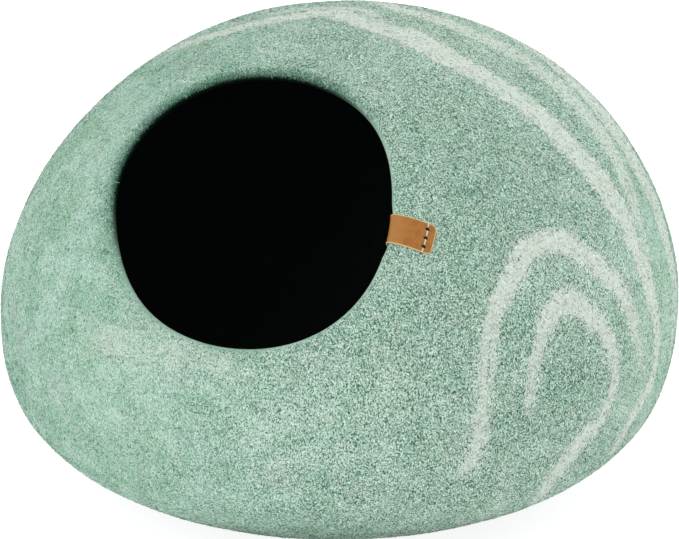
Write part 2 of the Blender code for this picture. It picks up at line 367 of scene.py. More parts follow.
def tree_of(points):
    """A search tree, which finds the nearest of many points."""
    tree = kdtree.KDTree(len(points))
    for number, point in enumerate(points):
        tree.insert(point, number)
    tree.balance()
    return tree


samples = band_samples()
band_tree = tree_of(samples[:, :3])
FAR_FROM_BANDS = 0.05
BESIDE_SAMPLE = 0.004       # a point this far ahead of its sample still lies beside the band


def band_place(points, point_normals):
    """For each point: distance past the band's edge, way across it, way along it, strength."""
    nearest = samples[[band_tree.find(point)[1] for point in points]]
    offset, heading = points - nearest[:, :3], nearest[:, 3:6]
    forwards = (offset * heading).sum(1)
    across = (offset * np.cross(point_normals, heading)).sum(1)
    past_end = np.maximum(np.abs(forwards) - BESIDE_SAMPLE, 0.0)
    from_edge = np.hypot(across, past_end) - nearest[:, 7]
    return np.minimum(from_edge, FAR_FROM_BANDS), across, nearest[:, 6] + forwards, nearest[:, 8]


print("band curves:", len(samples), "samples")

# %% [markdown]
# ## Where the wool is paler or deeper
# Carded wool isn't the same all round, because the maker's handfuls differ. Soft clouds of paler
# and deeper wool come from noise, and two tables place the handfuls that stand out. Some rows of
# those tables are painted light instead: painted shade low on the belly and just above the
# doorway, and painted highlights along the left and right outlines and on the crown. The felt is
# also dark in a zone along the doorway's upper left edge, which turns away from the light: that is
# painted shade. Each is a function of place, so the material and the loose fibres can both follow it.

# %% Clouds, patches and the shaded edge
WOOL_CLOUDS = (
    # wavelength, share
    (0.055, 0.40),
    (0.020, 0.40),
    (0.011, 0.40),
)
DEEPER_GREEN = (
    # name                     bearing  lift  spread  strength
    ("right of the doorway",      14.5,   29,     11,     0.8),
    ("by its lower right edge",     -6,   28,      7,     0.9),
    ("left of the outer arch",    13.5,    7,      7,     0.5),
    ("low between the arches",      28,    4,      5,     0.6),
    # painted shade: it carries the dark of the doorway's shaded upper edge a little further
    ("above the doorway",          -24,   72,      8,     0.6),
    ("inside the right bands",      27,   47,     15,     1.0),
    ("inside the inner arch",     39.5,    9,      7,     1.0),
    ("inside the outer arch",       31,   21,      5,     0.6),
    # painted shade: the three low rows darken the belly just above the floor
    ("low in the middle",           -3,  -19,     13,     0.8),
    ("low, to its left",           -21,  -22,     12,     0.7),
    ("low, to its right",           14,  -16,     12,     0.7),
    ("at the back",                150,   35,     22,     0.7),
    ("left of the back",           -95,   -5,     18,     0.5),
)
PALER_GREEN = (
    # name                     bearing  lift  spread  strength
    # painted highlight: this row and the outline and crown rows below stand for the light along those
    # outlines
    ("right outline",               67,    8,     10,     0.9),
    ("between the arches",          50,   13,      7,     0.3),
    ("low on the right",            57,    1,      8,     0.7),
    ("under the doorway",          -14,   12,      9,     0.2),
    ("by its lower left edge",     -34,   18,      7,     0.7),
    # painted highlight along the left outline
    ("left outline",               -84,   22,     13,     0.7),
    ("low on the left",            -38,   -2,     14,     0.4),
    ("above the arches",             7,   16,      6,     0.6),
    # painted highlight along the top outline
    ("crown",                      122,   70,     17,     1.0),
    ("back of the crown",          -170,  60,     18,     0.5),
)
SHADED_PLACE = 135.0        # degrees round the doorway from its right: the edge is darkest there
SHADED_LEAST = 0.12         # part of that shade on the other side
SHADED_TURN = (-0.1, 0.75)  # cosines of the turn from that place, between which it grows


def wool_clouds(points):
    """Above 0 in paler wool and below 0 in deeper wool."""
    return sum(share * noise_at(points, wavelength) for wavelength, share in WOOL_CLOUDS)


def patches(table, ways):
    """The strongest patch of a table, in each direction."""
    strongest = np.zeros(ways.shape[:-1])
    for _name, bearing, lift, spread, strength in table:
        strongest = np.maximum(strongest, strength * fading(ways, bearing, lift, spread))
    return strongest


def shaded_part(place):
    """How dark the doorway's edge is, at place degrees round it."""
    turned = np.cos(np.radians(place - SHADED_PLACE))
    return SHADED_LEAST + (1 - SHADED_LEAST) * smooth_step(*SHADED_TURN, turned)


print("patches:", len(DEEPER_GREEN), "deeper,", len(PALER_GREEN), "paler")

# %% [markdown]
# ## Make the felt piece
# The rings become quads, and two fans close the base. The numbers that the material needs are
# stored as attributes of the points. The piece also gets its own flat map, for anyone who turns
# the pattern into a picture: the outer face fills most of it, because that is what shows.

# %% Helpers that make a mesh from arrays
def add_object(name, data):
    thing = bpy.data.objects.new(name, data)
    bpy.context.scene.collection.objects.link(thing)
    return thing


def object_of(name, shape):
    """The object of a bmesh shape, which is freed."""
    mesh = bpy.data.meshes.new(name)
    shape.to_mesh(mesh)
    shape.free()
    return add_object(name, mesh)


def make_piece(name, points, faces):
    mesh = bpy.data.meshes.new(name)
    mesh.from_pydata(points, [], faces)
    mesh.shade_smooth()
    return add_object(name, mesh)


def quads_between(ring_count, places):
    """Quads that join closed rings of points, each ring to the next."""
    here = np.arange(places)
    after = (here + 1) % places
    quads = []
    for low in range(0, (ring_count - 1) * places, places):
        high = low + places
        quads += np.column_stack((low + here, low + after, high + after, high + here)).tolist()
    return quads


def store(piece, **numbers):
    """Keep a number on each point of a piece, by name, for its material to read."""
    for name, values in numbers.items():
        attribute = piece.data.attributes.new(name, "FLOAT", "POINT")
        attribute.data.foreach_set("value", np.asarray(values, dtype=np.float32).ravel())


def store_flat_map(piece, corners):
    piece.data.uv_layers.new(name="OFBake").data.foreach_set("uv", corners.ravel())


def triangles_in(piece):
    return sum(len(face.vertices) - 2 for face in piece.data.polygons)


print("mesh helpers are ready")

# %% The felt shell
def shell_faces():
    here = np.arange(PLACES)
    after = (here + 1) % PLACES
    first_middle, last = len(rings) * PLACES, (len(rings) - 1) * PLACES
    fans = [(first_middle, b, a) for a, b in zip(here, after)]
    fans += [(first_middle + 1, last + a, last + b) for a, b in zip(here, after)]
    return [*quads_between(len(rings), PLACES), *fans]


felt_cave = make_piece("felt_cave", shell_points, shell_faces())
shaper = bmesh.new()
shaper.from_mesh(felt_cave.data)
bmesh.ops.recalc_face_normals(shaper, faces=shaper.faces)
shaper.to_mesh(felt_cave.data)
shaper.free()
print("felt_cave:", triangles_in(felt_cave), "triangles")

# %% Numbers on its points
outer_first = len(rings) - len(outer)
edge_from, across, along_band, strength = band_place(outer.reshape(-1, 3), normals.reshape(-1, 3))


def on_outer_face(values, elsewhere=0.0):
    whole = np.full((len(rings), PLACES), elsewhere, dtype=float)
    whole[outer_first:] = values.reshape(len(outer), PLACES)
    return np.append(whole.ravel(), (elsewhere, elsewhere))


shaded = shaded_part(np.arange(PLACES) * 360 / PLACES)
store(
    felt_cave,
    edge_way=np.append(edge_way.ravel(), (edge_way.min(), edge_way.max())),
    band_edge=on_outer_face(edge_from, FAR_FROM_BANDS),
    band_across=on_outer_face(across),
    band_along=on_outer_face(along_band),
    band_strength=on_outer_face(strength),
    wool_cloud=wool_clouds(shell_points),
    deeper_green=on_outer_face(patches(DEEPER_GREEN, outer_ways)),
    paler_green=on_outer_face(patches(PALER_GREEN, outer_ways)),
    edge_shade=np.append(np.tile(shaded, len(rings)), (0.0, 0.0)),
)
print("points in a band:", int((edge_from < 0).sum()))

# %% Its flat map
INNER_SHARE, BASE_SHARE = 0.10, 0.08     # parts of the map's height


def map_height_of_rings():
    """The inner face, then the face that shows, then the base, from the map's bottom to its top."""
    way = edge_way.mean(axis=1)
    base_start = np.argmax(rings[outer_first:, :, 2].mean(axis=1) < 2 * FLOOR_BLEND) + outer_first
    marks = (way[0], way[outer_first - RIM_STEPS], way[base_start], way[-1])
    return np.interp(way, marks, (0.0, INNER_SHARE, 1 - BASE_SHARE, 1.0))


def map_the_shell(piece):
    heights = np.append(map_height_of_rings(), (0.0, 1.0))
    corners = np.empty(len(piece.data.loops), dtype=int)
    piece.data.loops.foreach_get("vertex_index", corners)
    ring, place = corners // PLACES, (corners % PLACES).astype(float)
    middle = corners >= len(rings) * PLACES
    ring[middle] = len(rings) + corners[middle] - len(rings) * PLACES
    for face in piece.data.polygons:
        span = slice(face.loop_start, face.loop_start + face.loop_total)
        around_face = place[span]
        real = ~middle[span]
        if np.ptp(around_face[real]) > PLACES / 2:      # the face that closes the ring
            around_face[real & (around_face < PLACES / 2)] += PLACES
        around_face[~real] = around_face[real].mean()
    store_flat_map(piece, np.column_stack((place / PLACES, heights[ring])))


map_the_shell(felt_cave)
print("flat map:", felt_cave.data.uv_layers[0].name)

# %% [markdown]
# ## Building materials with nodes
# A material is a small network: textures make masks, masks mix colours, and the mixed colour
# goes into one Principled shader. Written out in full that is long, so short helpers make a node
# and wire its inputs in one line. Effects that several materials share are node groups: a group
# is built once, and each material sets its own values on the group's inputs.

# %% Node helpers
FLOAT, VECTOR, COLOUR = "NodeSocketFloat", "NodeSocketVector", "NodeSocketColor"


def set_inputs(tree, node, inputs):
    """Set a node's inputs to a value, or wire them to another node's output."""
    for socket, value in inputs.items():
        if isinstance(value, bpy.types.NodeSocket):
            tree.links.new(value, node.inputs[socket])
        else:
            node.inputs[socket].default_value = value


def add_node(tree, kind, inputs, **settings):
    """The outputs of a new node."""
    node = tree.nodes.new(kind)
    for name, value in settings.items():
        setattr(node, name, value)
    set_inputs(tree, node, inputs)
    return node.outputs


def calculate(tree, operation, *values):
    return add_node(tree, "ShaderNodeMath", dict(enumerate(values)), operation=operation)[0]


def times(tree, first, second, plus=None):
    """One value times another, and plus a third if it is given."""
    if plus is None:
        return calculate(tree, "MULTIPLY", first, second)
    return calculate(tree, "MULTIPLY_ADD", first, second, plus)


def soft_mask(tree, value, low, high):
    """0 at low, 1 at high, smooth between. Low may lie above high."""
    inputs = {"Value": value, "From Min": low, "From Max": high}
    return add_node(tree, "ShaderNodeMapRange", inputs, interpolation_type="SMOOTHSTEP")["Result"]


def mix_colours(tree, part, first, second, blend="MIX"):
    first, second = [(*colour, 1.0) if isinstance(colour, tuple) else colour for colour in (first, second)]
    inputs = {0: part, 6: first, 7: second}
    return add_node(tree, "ShaderNodeMix", inputs, data_type="RGBA", blend_type=blend)[2]


def lay_over(tree, colour, *coats):
    """Lay coats over a colour, one after another: each is a mask and its shade."""
    for part, shade in coats:
        colour = mix_colours(tree, part, colour, shade)
    return colour


def stored(tree, name):
    return add_node(tree, "ShaderNodeAttribute", {}, attribute_name=name)["Fac"]


def noise_texture(tree, place, scale, detail, roughness=0.5):
    inputs = {"Vector": place, "Scale": scale, "Detail": detail, "Roughness": roughness}
    return add_node(tree, "ShaderNodeTexNoise", inputs)


def bump(tree, height, strength, depth):
    inputs = {"Height": height, "Strength": strength, "Distance": depth}
    return add_node(tree, "ShaderNodeBump", inputs)["Normal"]


def new_group(name, inputs, outputs):
    """An empty node group. Each socket is named with its kind, or with the number it starts at."""
    group = bpy.data.node_groups.new(name, "ShaderNodeTree")
    for in_out, sockets in (("INPUT", inputs), ("OUTPUT", outputs)):
        for label, start in sockets.items():
            kind = start if isinstance(start, str) else FLOAT
            socket = group.interface.new_socket(name=label, in_out=in_out, socket_type=kind)
            if start != kind:
                socket.default_value = start
    return group, group.nodes.new("NodeGroupInput").outputs, group.nodes.new("NodeGroupOutput").inputs


def place_group(tree, group, inputs):
    return add_node(tree, "ShaderNodeGroup", inputs, node_tree=group)


def moved_by_seed(group, given):
    return add_node(group, "ShaderNodeVectorMath", {0: given["Vector"], 1: given["Seed"]}, operation="ADD")[0]


def new_material(name, roughness):
    """A material, its node tree, its shader and the piece's own coordinates."""
    material = bpy.data.materials.new(name)
    material.use_nodes = True
    tree = material.node_tree
    shader = tree.nodes["Principled BSDF"]
    shader.inputs["Roughness"].default_value = roughness
    return material, tree, shader, tree.nodes.new("ShaderNodeTexCoord").outputs["Object"]


def dress(material, *pieces):
    for piece in pieces:
        piece.data.materials.clear()
        piece.data.materials.append(material)
        print("finish of", piece.name + ":", material.name)


print("node helpers are ready")

# %% [markdown]
# ## Group: soft clouds
# Hand-carded wool is never mixed evenly, leather is never dyed evenly, and both show it as soft
# clouds of a lighter or darker shade. One noise texture and a smooth step give a mask for that.

# %% Soft clouds
CLOUD_DETAIL, CLOUD_ROUGHNESS = 3.0, 0.55


def soft_clouds_group():
    group, given, result = new_group(
        "soft clouds",
        {"Vector": VECTOR, "Clouds a Metre": 22.0, "Seed": 0.0, "Low": 0.4, "High": 0.6},
        {"Mask": FLOAT},
    )
    clouds = noise_texture(group, moved_by_seed(group, given), given["Clouds a Metre"],
                           CLOUD_DETAIL, CLOUD_ROUGHNESS)["Fac"]
    group.links.new(soft_mask(group, clouds, given["Low"], given["High"]), result["Mask"])
    return group


soft_clouds = soft_clouds_group()


def cloud_mask(tree, place, clouds_a_metre, low, high, seed=0.0):
    inputs = {"Vector": place, "Clouds a Metre": clouds_a_metre, "Seed": seed, "Low": low, "High": high}
    return place_group(tree, soft_clouds, inputs)["Mask"]


print("made the group:", soft_clouds.name)

# %% [markdown]
# ## Group: shade under the pebble
# The skin turns under just above the floor and gets less light there. The lamps alone leave that
# part too light, because the floor glows, so the shade is part of the wool's colour. The felt
# and its fibres both take it by their height.

# %% Shade under the pebble
UNDER_FROM, UNDER_FULL = 0.066, 0.022       # heights above the floor
UNDER_LESS = 1.0            # the sides get more light: height is added there, by X squared
UNDER_KEEPS = (0.47, 0.51, 0.49)            # of red, green and blue


def under_shade_group():
    group, given, result = new_group(
        "shade under the pebble",
        {"Vector": VECTOR, "Color": COLOUR},
        {"Color": COLOUR},
    )
    across, _, height = add_node(group, "ShaderNodeSeparateXYZ", {0: given["Vector"]})
    height = times(group, times(group, across, across), UNDER_LESS, height)
    part = soft_mask(group, height, UNDER_FROM, UNDER_FULL)
    group.links.new(mix_colours(group, part, given["Color"], UNDER_KEEPS, "MULTIPLY"), result["Color"])
    return group


under_shade = under_shade_group()


def shaded_below(tree, place, colour):
    return place_group(tree, under_shade, {"Vector": place, "Color": colour})["Color"]


print("made the group:", under_shade.name)

# %% [markdown]
# ## Group: wool streaks
# Felt is a mat of curled fibres, and from a step away they read as short strokes of light and
# dark that change direction every centimetre. Noise stretched one way gives straight strokes.
# Three such noises, each stretched another way, are picked in patches by a fourth, and a slow
# warp curls them.

# %% Wool streaks
STROKE_TURNS = ((0.4, 0.9, 0.2), (1.3, -0.5, 2.1), (-0.7, 1.8, 1.1))
STROKE_DETAIL, STROKE_ROUGHNESS = 2.0, 0.6
CURL = 0.006                # how far the slow warp moves a stroke
CHANGE_OVER = (0.44, 0.56)  # noise over which strokes of one way give place to those of another


def wool_streaks_group():
    group, given, result = new_group(
        "wool streaks",
        {"Vector": VECTOR, "Strokes a Metre": 900.0, "Stretch": 5.0, "Patches a Metre": 90.0, "Seed": 0.0},
        {"Strokes": FLOAT},
    )
    moved = moved_by_seed(group, given)
    warp = noise_texture(group, moved, given["Patches a Metre"], 2.0)["Color"]
    curled = add_node(group, "ShaderNodeVectorMath", {0: warp, 1: (CURL, CURL, CURL), 2: moved},
                      operation="MULTIPLY_ADD")[0]
    stretch = add_node(group, "ShaderNodeCombineXYZ", {"X": given["Stretch"], "Y": 1.0, "Z": 1.0})[0]
    strokes = []
    for turn in STROKE_TURNS:
        inputs = {"Vector": curled, "Rotation": turn, "Scale": stretch}
        turned = add_node(group, "ShaderNodeMapping", inputs, vector_type="TEXTURE")[0]
        strokes.append(noise_texture(group, turned, given["Strokes a Metre"],
                                     STROKE_DETAIL, STROKE_ROUGHNESS)["Fac"])
    patch_noise = noise_texture(group, moved, given["Patches a Metre"], 1.0)["Color"]
    picked = strokes[0]
    for stroke, part in zip(strokes[1:], add_node(group, "ShaderNodeSeparateColor", {0: patch_noise})):
        inputs = {0: soft_mask(group, part, *CHANGE_OVER), 2: picked, 3: stroke}
        picked = add_node(group, "ShaderNodeMix", inputs)[0]
    group.links.new(picked, result["Strokes"])
    return group


wool_streaks = wool_streaks_group()


def lay_strokes(tree, place, strokes_a_metre, stretch=5.0, seed=0.0, patches_a_metre=90.0):
    inputs = {"Vector": place, "Strokes a Metre": strokes_a_metre, "Stretch": stretch,
              "Patches a Metre": patches_a_metre, "Seed": seed}
    return place_group(tree, wool_streaks, inputs)["Strokes"]


print("made the group:", wool_streaks.name)

# %% [markdown]
# ## The felt's own finish
# The wool is a sea green carded together with cream, grey, moss and dark green. One flat colour
# would look like plastic, and a picture of felt would need a seam, so the shader mixes it from
# masks: the clouds, the strokes, the bands and the dark inside. A band's edge is shifted by
# noise, so that wool of one shade runs into the other.
# It also paints light: a painted highlight on the doorway's lit lower lip, painted shade along that edge's
# upper left and low under the pebble, and the painted shade and highlights of the patch tables.

# %% Shades of wool
SEA_GREEN = (0.205, 0.435, 0.305)
PALE_GREEN = (0.390, 0.595, 0.485)
GREY_GREEN = (0.300, 0.405, 0.370)
MOSS_GREEN = (0.270, 0.480, 0.280)
DEEPER = (0.120, 0.335, 0.215)
PALER = (0.440, 0.620, 0.475)
CREAM = (0.665, 0.690, 0.635)
PALE_FLECK = (0.715, 0.842, 0.748)
DARK_FLECK = (0.032, 0.100, 0.072)
EDGE_SHADES = (                # zone along the felt, from the doorway's edge, and the light it keeps
    ((0.0260, 0.0100), (0.87, 0.90, 0.89)),
    ((0.0125, 0.0045), (0.40, 0.53, 0.48)),
    ((0.0058, 0.0012), (0.03, 0.04, 0.035)),
)
# painted highlight: the paler green laid on the doorway's lit lower lip
LIT_LIP_PAINTED_HIGHLIGHT = (0.480, 0.700, 0.570)
INSIDE_DARK = (0.015, 0.022, 0.019)
INSIDE_FLECK = (0.030, 0.044, 0.038)
COARSER_FROM = (-0.17, 0.03)   # along X: the wool is carded more finely left of here
FINER_FROM = (0.16, 0.235)     # and right of here
print("shades of wool are set")

# %% The plain wool's colour
GREEN_CLOUDS = (-0.36, 0.36)
CLOUDED_SHADES = (
    # clouds a metre, noise at which they start and are full, seed; how much of the shade; the shade
    ((34.0, 0.50, 0.72, 3.7), 0.7, GREY_GREEN),
    ((26.0, 0.52, 0.72, 7.9), 0.6, MOSS_GREEN),
)
PATCH_SHADES = (("deeper_green", 0.6, DEEPER), ("paler_green", 0.7, PALER))


def wool_ground(tree, place):
    """Clouds of green, with grey and mossy ones among them, and the deeper and paler patches."""
    paler = soft_mask(tree, stored(tree, "wool_cloud"), *GREEN_CLOUDS)
    green = mix_colours(tree, paler, SEA_GREEN, PALE_GREEN)
    for clouds, part, shade in CLOUDED_SHADES:
        green = mix_colours(tree, times(tree, cloud_mask(tree, place, *clouds), part), green, shade)
    for name, part, shade in PATCH_SHADES:
        green = mix_colours(tree, times(tree, stored(tree, name), part), green, shade)
    return green


print("clouded shades:", len(CLOUDED_SHADES), "and patches:", len(PATCH_SHADES))

# %% Where the bands show
STRAND_STRETCH = 0.09       # strands lie along a band, so their noise is stretched that way
STRANDS_A_METRE, STRANDS_SHOW = 330.0, (0.18, 0.46)
EDGE_CLOUDS = (150.0, 0.25, 0.75, 9.1)      # clouds a metre, low, high, seed: they shift its edge
EDGE_SHIFT = 0.0042         # from one side to the other
PALE_FROM_EDGE = (0.0045, -0.0055)          # ways past the edge where pale wool starts and is full
EDGE_STROKES = 2.4          # how strongly single strokes break the edge up
SPECKLE = (0.25, 0.75)
BAND_FULL = 0.92


def band_mask(tree, place, strokes):
    """1 on pale wool, which thins to single strokes of it at a band's edge."""
    lengthwise = times(tree, stored(tree, "band_along"), STRAND_STRETCH)
    inputs = {"X": lengthwise, "Y": stored(tree, "band_across")}
    strand_place = add_node(tree, "ShaderNodeCombineXYZ", inputs)[0]
    strands = noise_texture(tree, strand_place, STRANDS_A_METRE, STROKE_DETAIL, STROKE_ROUGHNESS)["Fac"]
    shift = times(tree, cloud_mask(tree, place, *EDGE_CLOUDS), EDGE_SHIFT, -EDGE_SHIFT / 2)
    body = soft_mask(tree, calculate(tree, "ADD", stored(tree, "band_edge"), shift), *PALE_FROM_EDGE)
    laid = times(tree, body, soft_mask(tree, strands, *STRANDS_SHOW))
    speckled = times(tree, strokes, EDGE_STROKES, calculate(tree, "ADD", laid, -EDGE_STROKES / 2))
    strength = times(tree, stored(tree, "band_strength"), BAND_FULL)
    return times(tree, soft_mask(tree, speckled, *SPECKLE), strength)


print(f"a band's edge wanders by {EDGE_SHIFT * 1000:.1f} mm")

# %% Where the strokes show
LIT_ZONE = (0.0060, 0.0010) # ways from the doorway's edge where the painted highlight on its lit lower lip starts and is full
FINE_CARDING = 0.5          # how much the strokes show at either side
SMOOTHER_LIP = 0.7          # how much less on the lit lip


def lit_edge_mask(tree, way):
    lit = calculate(tree, "SUBTRACT", 1.0, stored(tree, "edge_shade"))
    return times(tree, soft_mask(tree, way, *LIT_ZONE), lit)


def carding_shown(tree, place, on_lit_edge):
    """How much the strokes show: less at either side and on the doorway's lit lower edge."""
    across = add_node(tree, "ShaderNodeSeparateXYZ", {0: place})["X"]
    coarse = times(tree, soft_mask(tree, across, *COARSER_FROM),
                   soft_mask(tree, across, *reversed(FINER_FROM)))
    carded = times(tree, coarse, 1 - FINE_CARDING, FINE_CARDING)
    return times(tree, carded, times(tree, on_lit_edge, -SMOOTHER_LIP, 1.0))


print("strokes show from", FINE_CARDING, "at the sides to 1.0 in the middle")

# %% The finish of the felt
FINE_STROKES, OTHER_STROKES = (1600.0, 2.2), (1400.0, 2.4, 5.3)     # strokes a metre, stretch, seed
PALE_SHOW, DARK_SHOW = (0.49, 0.53), (0.49, 0.43)   # noise at which they start and are full
DARK_PART, LESS_IN_BAND = 0.95, 0.80        # of the dark strokes
LIT_PART = 0.7
EDGE_WOBBLE = 0.005         # strokes shift the zones along the doorway's edge
INSIDE_FROM = (-0.0015, -0.0065)            # ways from that edge where the dark starts and is full
FLECKS_INSIDE = 0.6


def felt_material():
    material, tree, shader, place = new_material("wool felt", roughness=0.92)
    fine, other = lay_strokes(tree, place, *FINE_STROKES), lay_strokes(tree, place, *OTHER_STROKES)
    way = stored(tree, "edge_way")
    on_lit_edge = lit_edge_mask(tree, way)
    shown = carding_shown(tree, place, on_lit_edge)
    pale = times(tree, soft_mask(tree, fine, *PALE_SHOW), shown)
    dark = times(tree, soft_mask(tree, other, *DARK_SHOW), shown)
    band = band_mask(tree, place, other)
    dark = times(tree, dark, times(tree, band, -LESS_IN_BAND, DARK_PART))
    # the last coat is the painted highlight on the lit lip; the shade under the pebble and the edge zones
    # below are painted shade
    colour = lay_over(tree, wool_ground(tree, place), (band, CREAM), (pale, PALE_FLECK),
                      (dark, DARK_FLECK), (times(tree, on_lit_edge, LIT_PART), LIT_LIP_PAINTED_HIGHLIGHT))
    colour = shaded_below(tree, place, colour)

    wobbling = calculate(tree, "ADD", way, times(tree, other, EDGE_WOBBLE, -EDGE_WOBBLE / 2))
    for zone, kept in EDGE_SHADES:
        part = times(tree, soft_mask(tree, wobbling, *zone), stored(tree, "edge_shade"))
        colour = mix_colours(tree, part, colour, kept, "MULTIPLY")
    inside = mix_colours(tree, times(tree, pale, FLECKS_INSIDE), INSIDE_DARK, INSIDE_FLECK)
    colour = mix_colours(tree, soft_mask(tree, wobbling, *INSIDE_FROM), colour, inside)
    grain = bump(tree, calculate(tree, "ADD", fine, other), strength=0.55, depth=0.0008)
    set_inputs(tree, shader, {"Base Color": colour, "Normal": grain, "Specular IOR Level": 0.03})
    return material


dress(felt_material(), felt_cave)

# %% [markdown]
# ## The leather tag
# The tag is one strip of leather, folded over the doorway's right edge, with a leg on the
# outside and a leg on the inside. It has to follow the felt, so it is a grid of points lifted
# off the felt's own skin: along a leg, round the fold, and back along the other leg. Each point
# gets half the leather's thickness on either side, less towards the border, which rounds it.

# %% Sizes of the tag
TAG_LEAN, TAG_SLANT = -0.09, 0.09           # the strip and its ends sit a little askew
TAG_WIDTH, TAG_THICKNESS, TAG_LEG, TAG_CORNER = 0.0203, 0.0010, 0.0286, 0.0035
TAG_GAP, TAG_INNER_GAP = 0.00045, 0.0018    # between the felt and the outer leg, and the inner one
FOLD_OPENING = 1.2          # above 1, the gap opens late along the fold
CORNER_ROWS, LEG_ROWS, FOLD_ROWS, TAG_COLUMNS = 8, 26, 22, 24
BORDER_ROUND = 0.0006       # the leather thins over this way from its border
BORDER_PART = 0.5           # and is this part of its thickness there
HALVINGS = 30
SMALL_TURN = 0.05
COLUMN_SPREAD = np.sin(np.pi / 2 * np.linspace(-1.0, 1.0, TAG_COLUMNS + 1))    # closer at the borders


def tag_way(side, reach):
    middle = around(DOOR_AXIS, TAG_PLACE + TAG_LEAN * (reach - DOOR_RADIUS), reach)
    across = around(DOOR_AXIS, np.array(TAG_PLACE + 90.0), np.array(90.0))
    turn = np.radians(side)[..., None]
    return middle * np.cos(turn) + across * np.sin(turn)


def tag_edge_reach(side):
    """Reach at which lines along the tag meet the doorway's edge, found by halving."""
    low, high = np.full_like(side, 0.5 * DOOR_RADIUS), np.full_like(side, 1.5 * DOOR_RADIUS)
    for _ in range(HALVINGS):
        middle = (low + high) / 2
        ways = tag_way(side, middle)
        in_doorway = angle_between(ways, DOOR_AXIS) < door_reach(door_place(ways))
        low, high = np.where(in_doorway, middle, low), np.where(in_doorway, high, middle)
    return high


def tag_frame(side, reach):
    """Points of the felt under the tag, the outward normals and the way to the doorway."""
    points = felt_point(tag_way(side, reach))
    along = unit(felt_point(tag_way(side, reach + SMALL_TURN)) - points)
    across = unit(felt_point(tag_way(side + SMALL_TURN, reach)) - points)
    return points, unit(np.cross(along, across)), -along


def metres_per_degree():
    edge = tag_edge_reach(np.zeros(1))
    middle, last = edge + RIM_ROLL_WIDTH, edge + 2 * RIM_ROLL_WIDTH
    straight, one = np.zeros(1), np.ones(1)
    along = felt_point(tag_way(straight, last)) - felt_point(tag_way(straight, middle))
    across = felt_point(tag_way(one, middle)) - felt_point(tag_way(-one, middle))
    return np.linalg.norm(along) / RIM_ROLL_WIDTH, np.linalg.norm(across) / 2


ALONG_SCALE, ACROSS_SCALE = metres_per_degree()
print(f"on the felt by the tag, a degree is {ALONG_SCALE * 1000:.2f} mm")

# %% Places on the tag's legs and fold
def leg_lift(outside, above):
    """Lift off the felt's outer face, for what is above metres over the leather's near face."""
    return TAG_GAP + above if outside else -(WALL + TAG_INNER_GAP + above)


def on_leg(side, from_end, lift):
    """Points lifted off the felt, side metres across the tag and from_end metres from a leg's end."""
    side = side / ACROSS_SCALE
    slant = TAG_SLANT * (1 - from_end / (TAG_LEG - WALL / 2))
    reach = tag_edge_reach(side) + (TAG_LEG - from_end) / ALONG_SCALE + slant * side
    points, point_normals, _ = tag_frame(side, reach)
    return points + point_normals * lift[..., None]


def on_fold(side, part_way, outer_lift, inner_lift):
    """Points round the doorway's edge, part of the half turn from the outer to the inner leg."""
    side = side / ACROSS_SCALE
    points, point_normals, doorwards = tag_frame(side, tag_edge_reach(side))
    middle = points - (point_normals + doorwards) * WALL / 2
    radius = WALL / 2 + outer_lift + (inner_lift - outer_lift) * part_way ** FOLD_OPENING
    turn = math.pi * part_way
    return middle + (point_normals * math.cos(turn) + doorwards * math.sin(turn)) * radius[..., None]


def leg_rows():
    """Each row of a leg: its way from the end and its half width, narrower at the corners."""
    turns = np.linspace(0.0, np.pi / 2, CORNER_ROWS + 1)
    narrower = TAG_CORNER * (1 - np.sin(turns))
    corner = np.column_stack((TAG_CORNER * (1 - np.cos(turns)), TAG_WIDTH / 2 - narrower))
    ways = np.linspace(TAG_CORNER, TAG_LEG - WALL / 2, LEG_ROWS + 1)[1:]
    return np.concatenate((corner, np.column_stack((ways, np.full_like(ways, TAG_WIDTH / 2)))))


print("rows on a leg:", len(leg_rows()))

# %% The strip of leather
def leather_face(face_sign):
    """The top (1) or under (-1) face as rows of points, and each point's way from the border."""
    rows, from_border = [], []

    def thickness_at(border):
        thin = (1 - np.clip(border / BORDER_ROUND, 0.0, 1.0)) ** 2
        return TAG_THICKNESS / 2 * (1 + face_sign * (1 - (1 - BORDER_PART) * thin))

    def add_leg(leg, outside):
        for from_end, half_width in leg:
            border = np.minimum(half_width * (1 - np.abs(COLUMN_SPREAD)), from_end)
            lift = leg_lift(outside, thickness_at(border))
            rows.append(on_leg(half_width * COLUMN_SPREAD, np.full_like(border, from_end), lift))
            from_border.append(border)

    add_leg(leg_rows(), True)
    border = TAG_WIDTH / 2 * (1 - np.abs(COLUMN_SPREAD))
    for part_way in np.arange(1, FOLD_ROWS + 1) / (FOLD_ROWS + 1):
        lifts = [gap + thickness_at(border) for gap in (TAG_GAP, TAG_INNER_GAP)]
        rows.append(on_fold(TAG_WIDTH / 2 * COLUMN_SPREAD, part_way, *lifts))
        from_border.append(border)
    add_leg(leg_rows()[::-1], False)
    return np.array(rows), np.array(from_border)


def strip_faces(row_count, column_count):
    """Quads of the top face, the under face and the border that joins them."""
    index = np.arange(row_count * column_count).reshape(row_count, column_count)
    top = np.stack((index[:-1, :-1], index[:-1, 1:], index[1:, 1:], index[1:, :-1]), axis=-1).reshape(-1, 4)
    loop = np.concatenate((index[0, :-1], index[:-1, -1], index[-1, :0:-1], index[:0:-1, 0]))
    after = np.roll(loop, -1)
    border = np.column_stack((loop, loop + index.size, after + index.size, after))
    return np.concatenate((top, top[:, ::-1] + index.size, border)).tolist()


leather_top, top_border = leather_face(1)
leather_under, _ = leather_face(-1)
leather_tag = make_piece(
    "leather_tag_strip",
    np.concatenate((leather_top.reshape(-1, 3), leather_under.reshape(-1, 3))),
    strip_faces(*top_border.shape),
)
strip_way = way_along(leather_top[:, TAG_COLUMNS // 2])
print(f"leather strip: {TAG_WIDTH * 1000:.1f} mm x {strip_way[-1] * 1000:.1f} mm laid out flat")

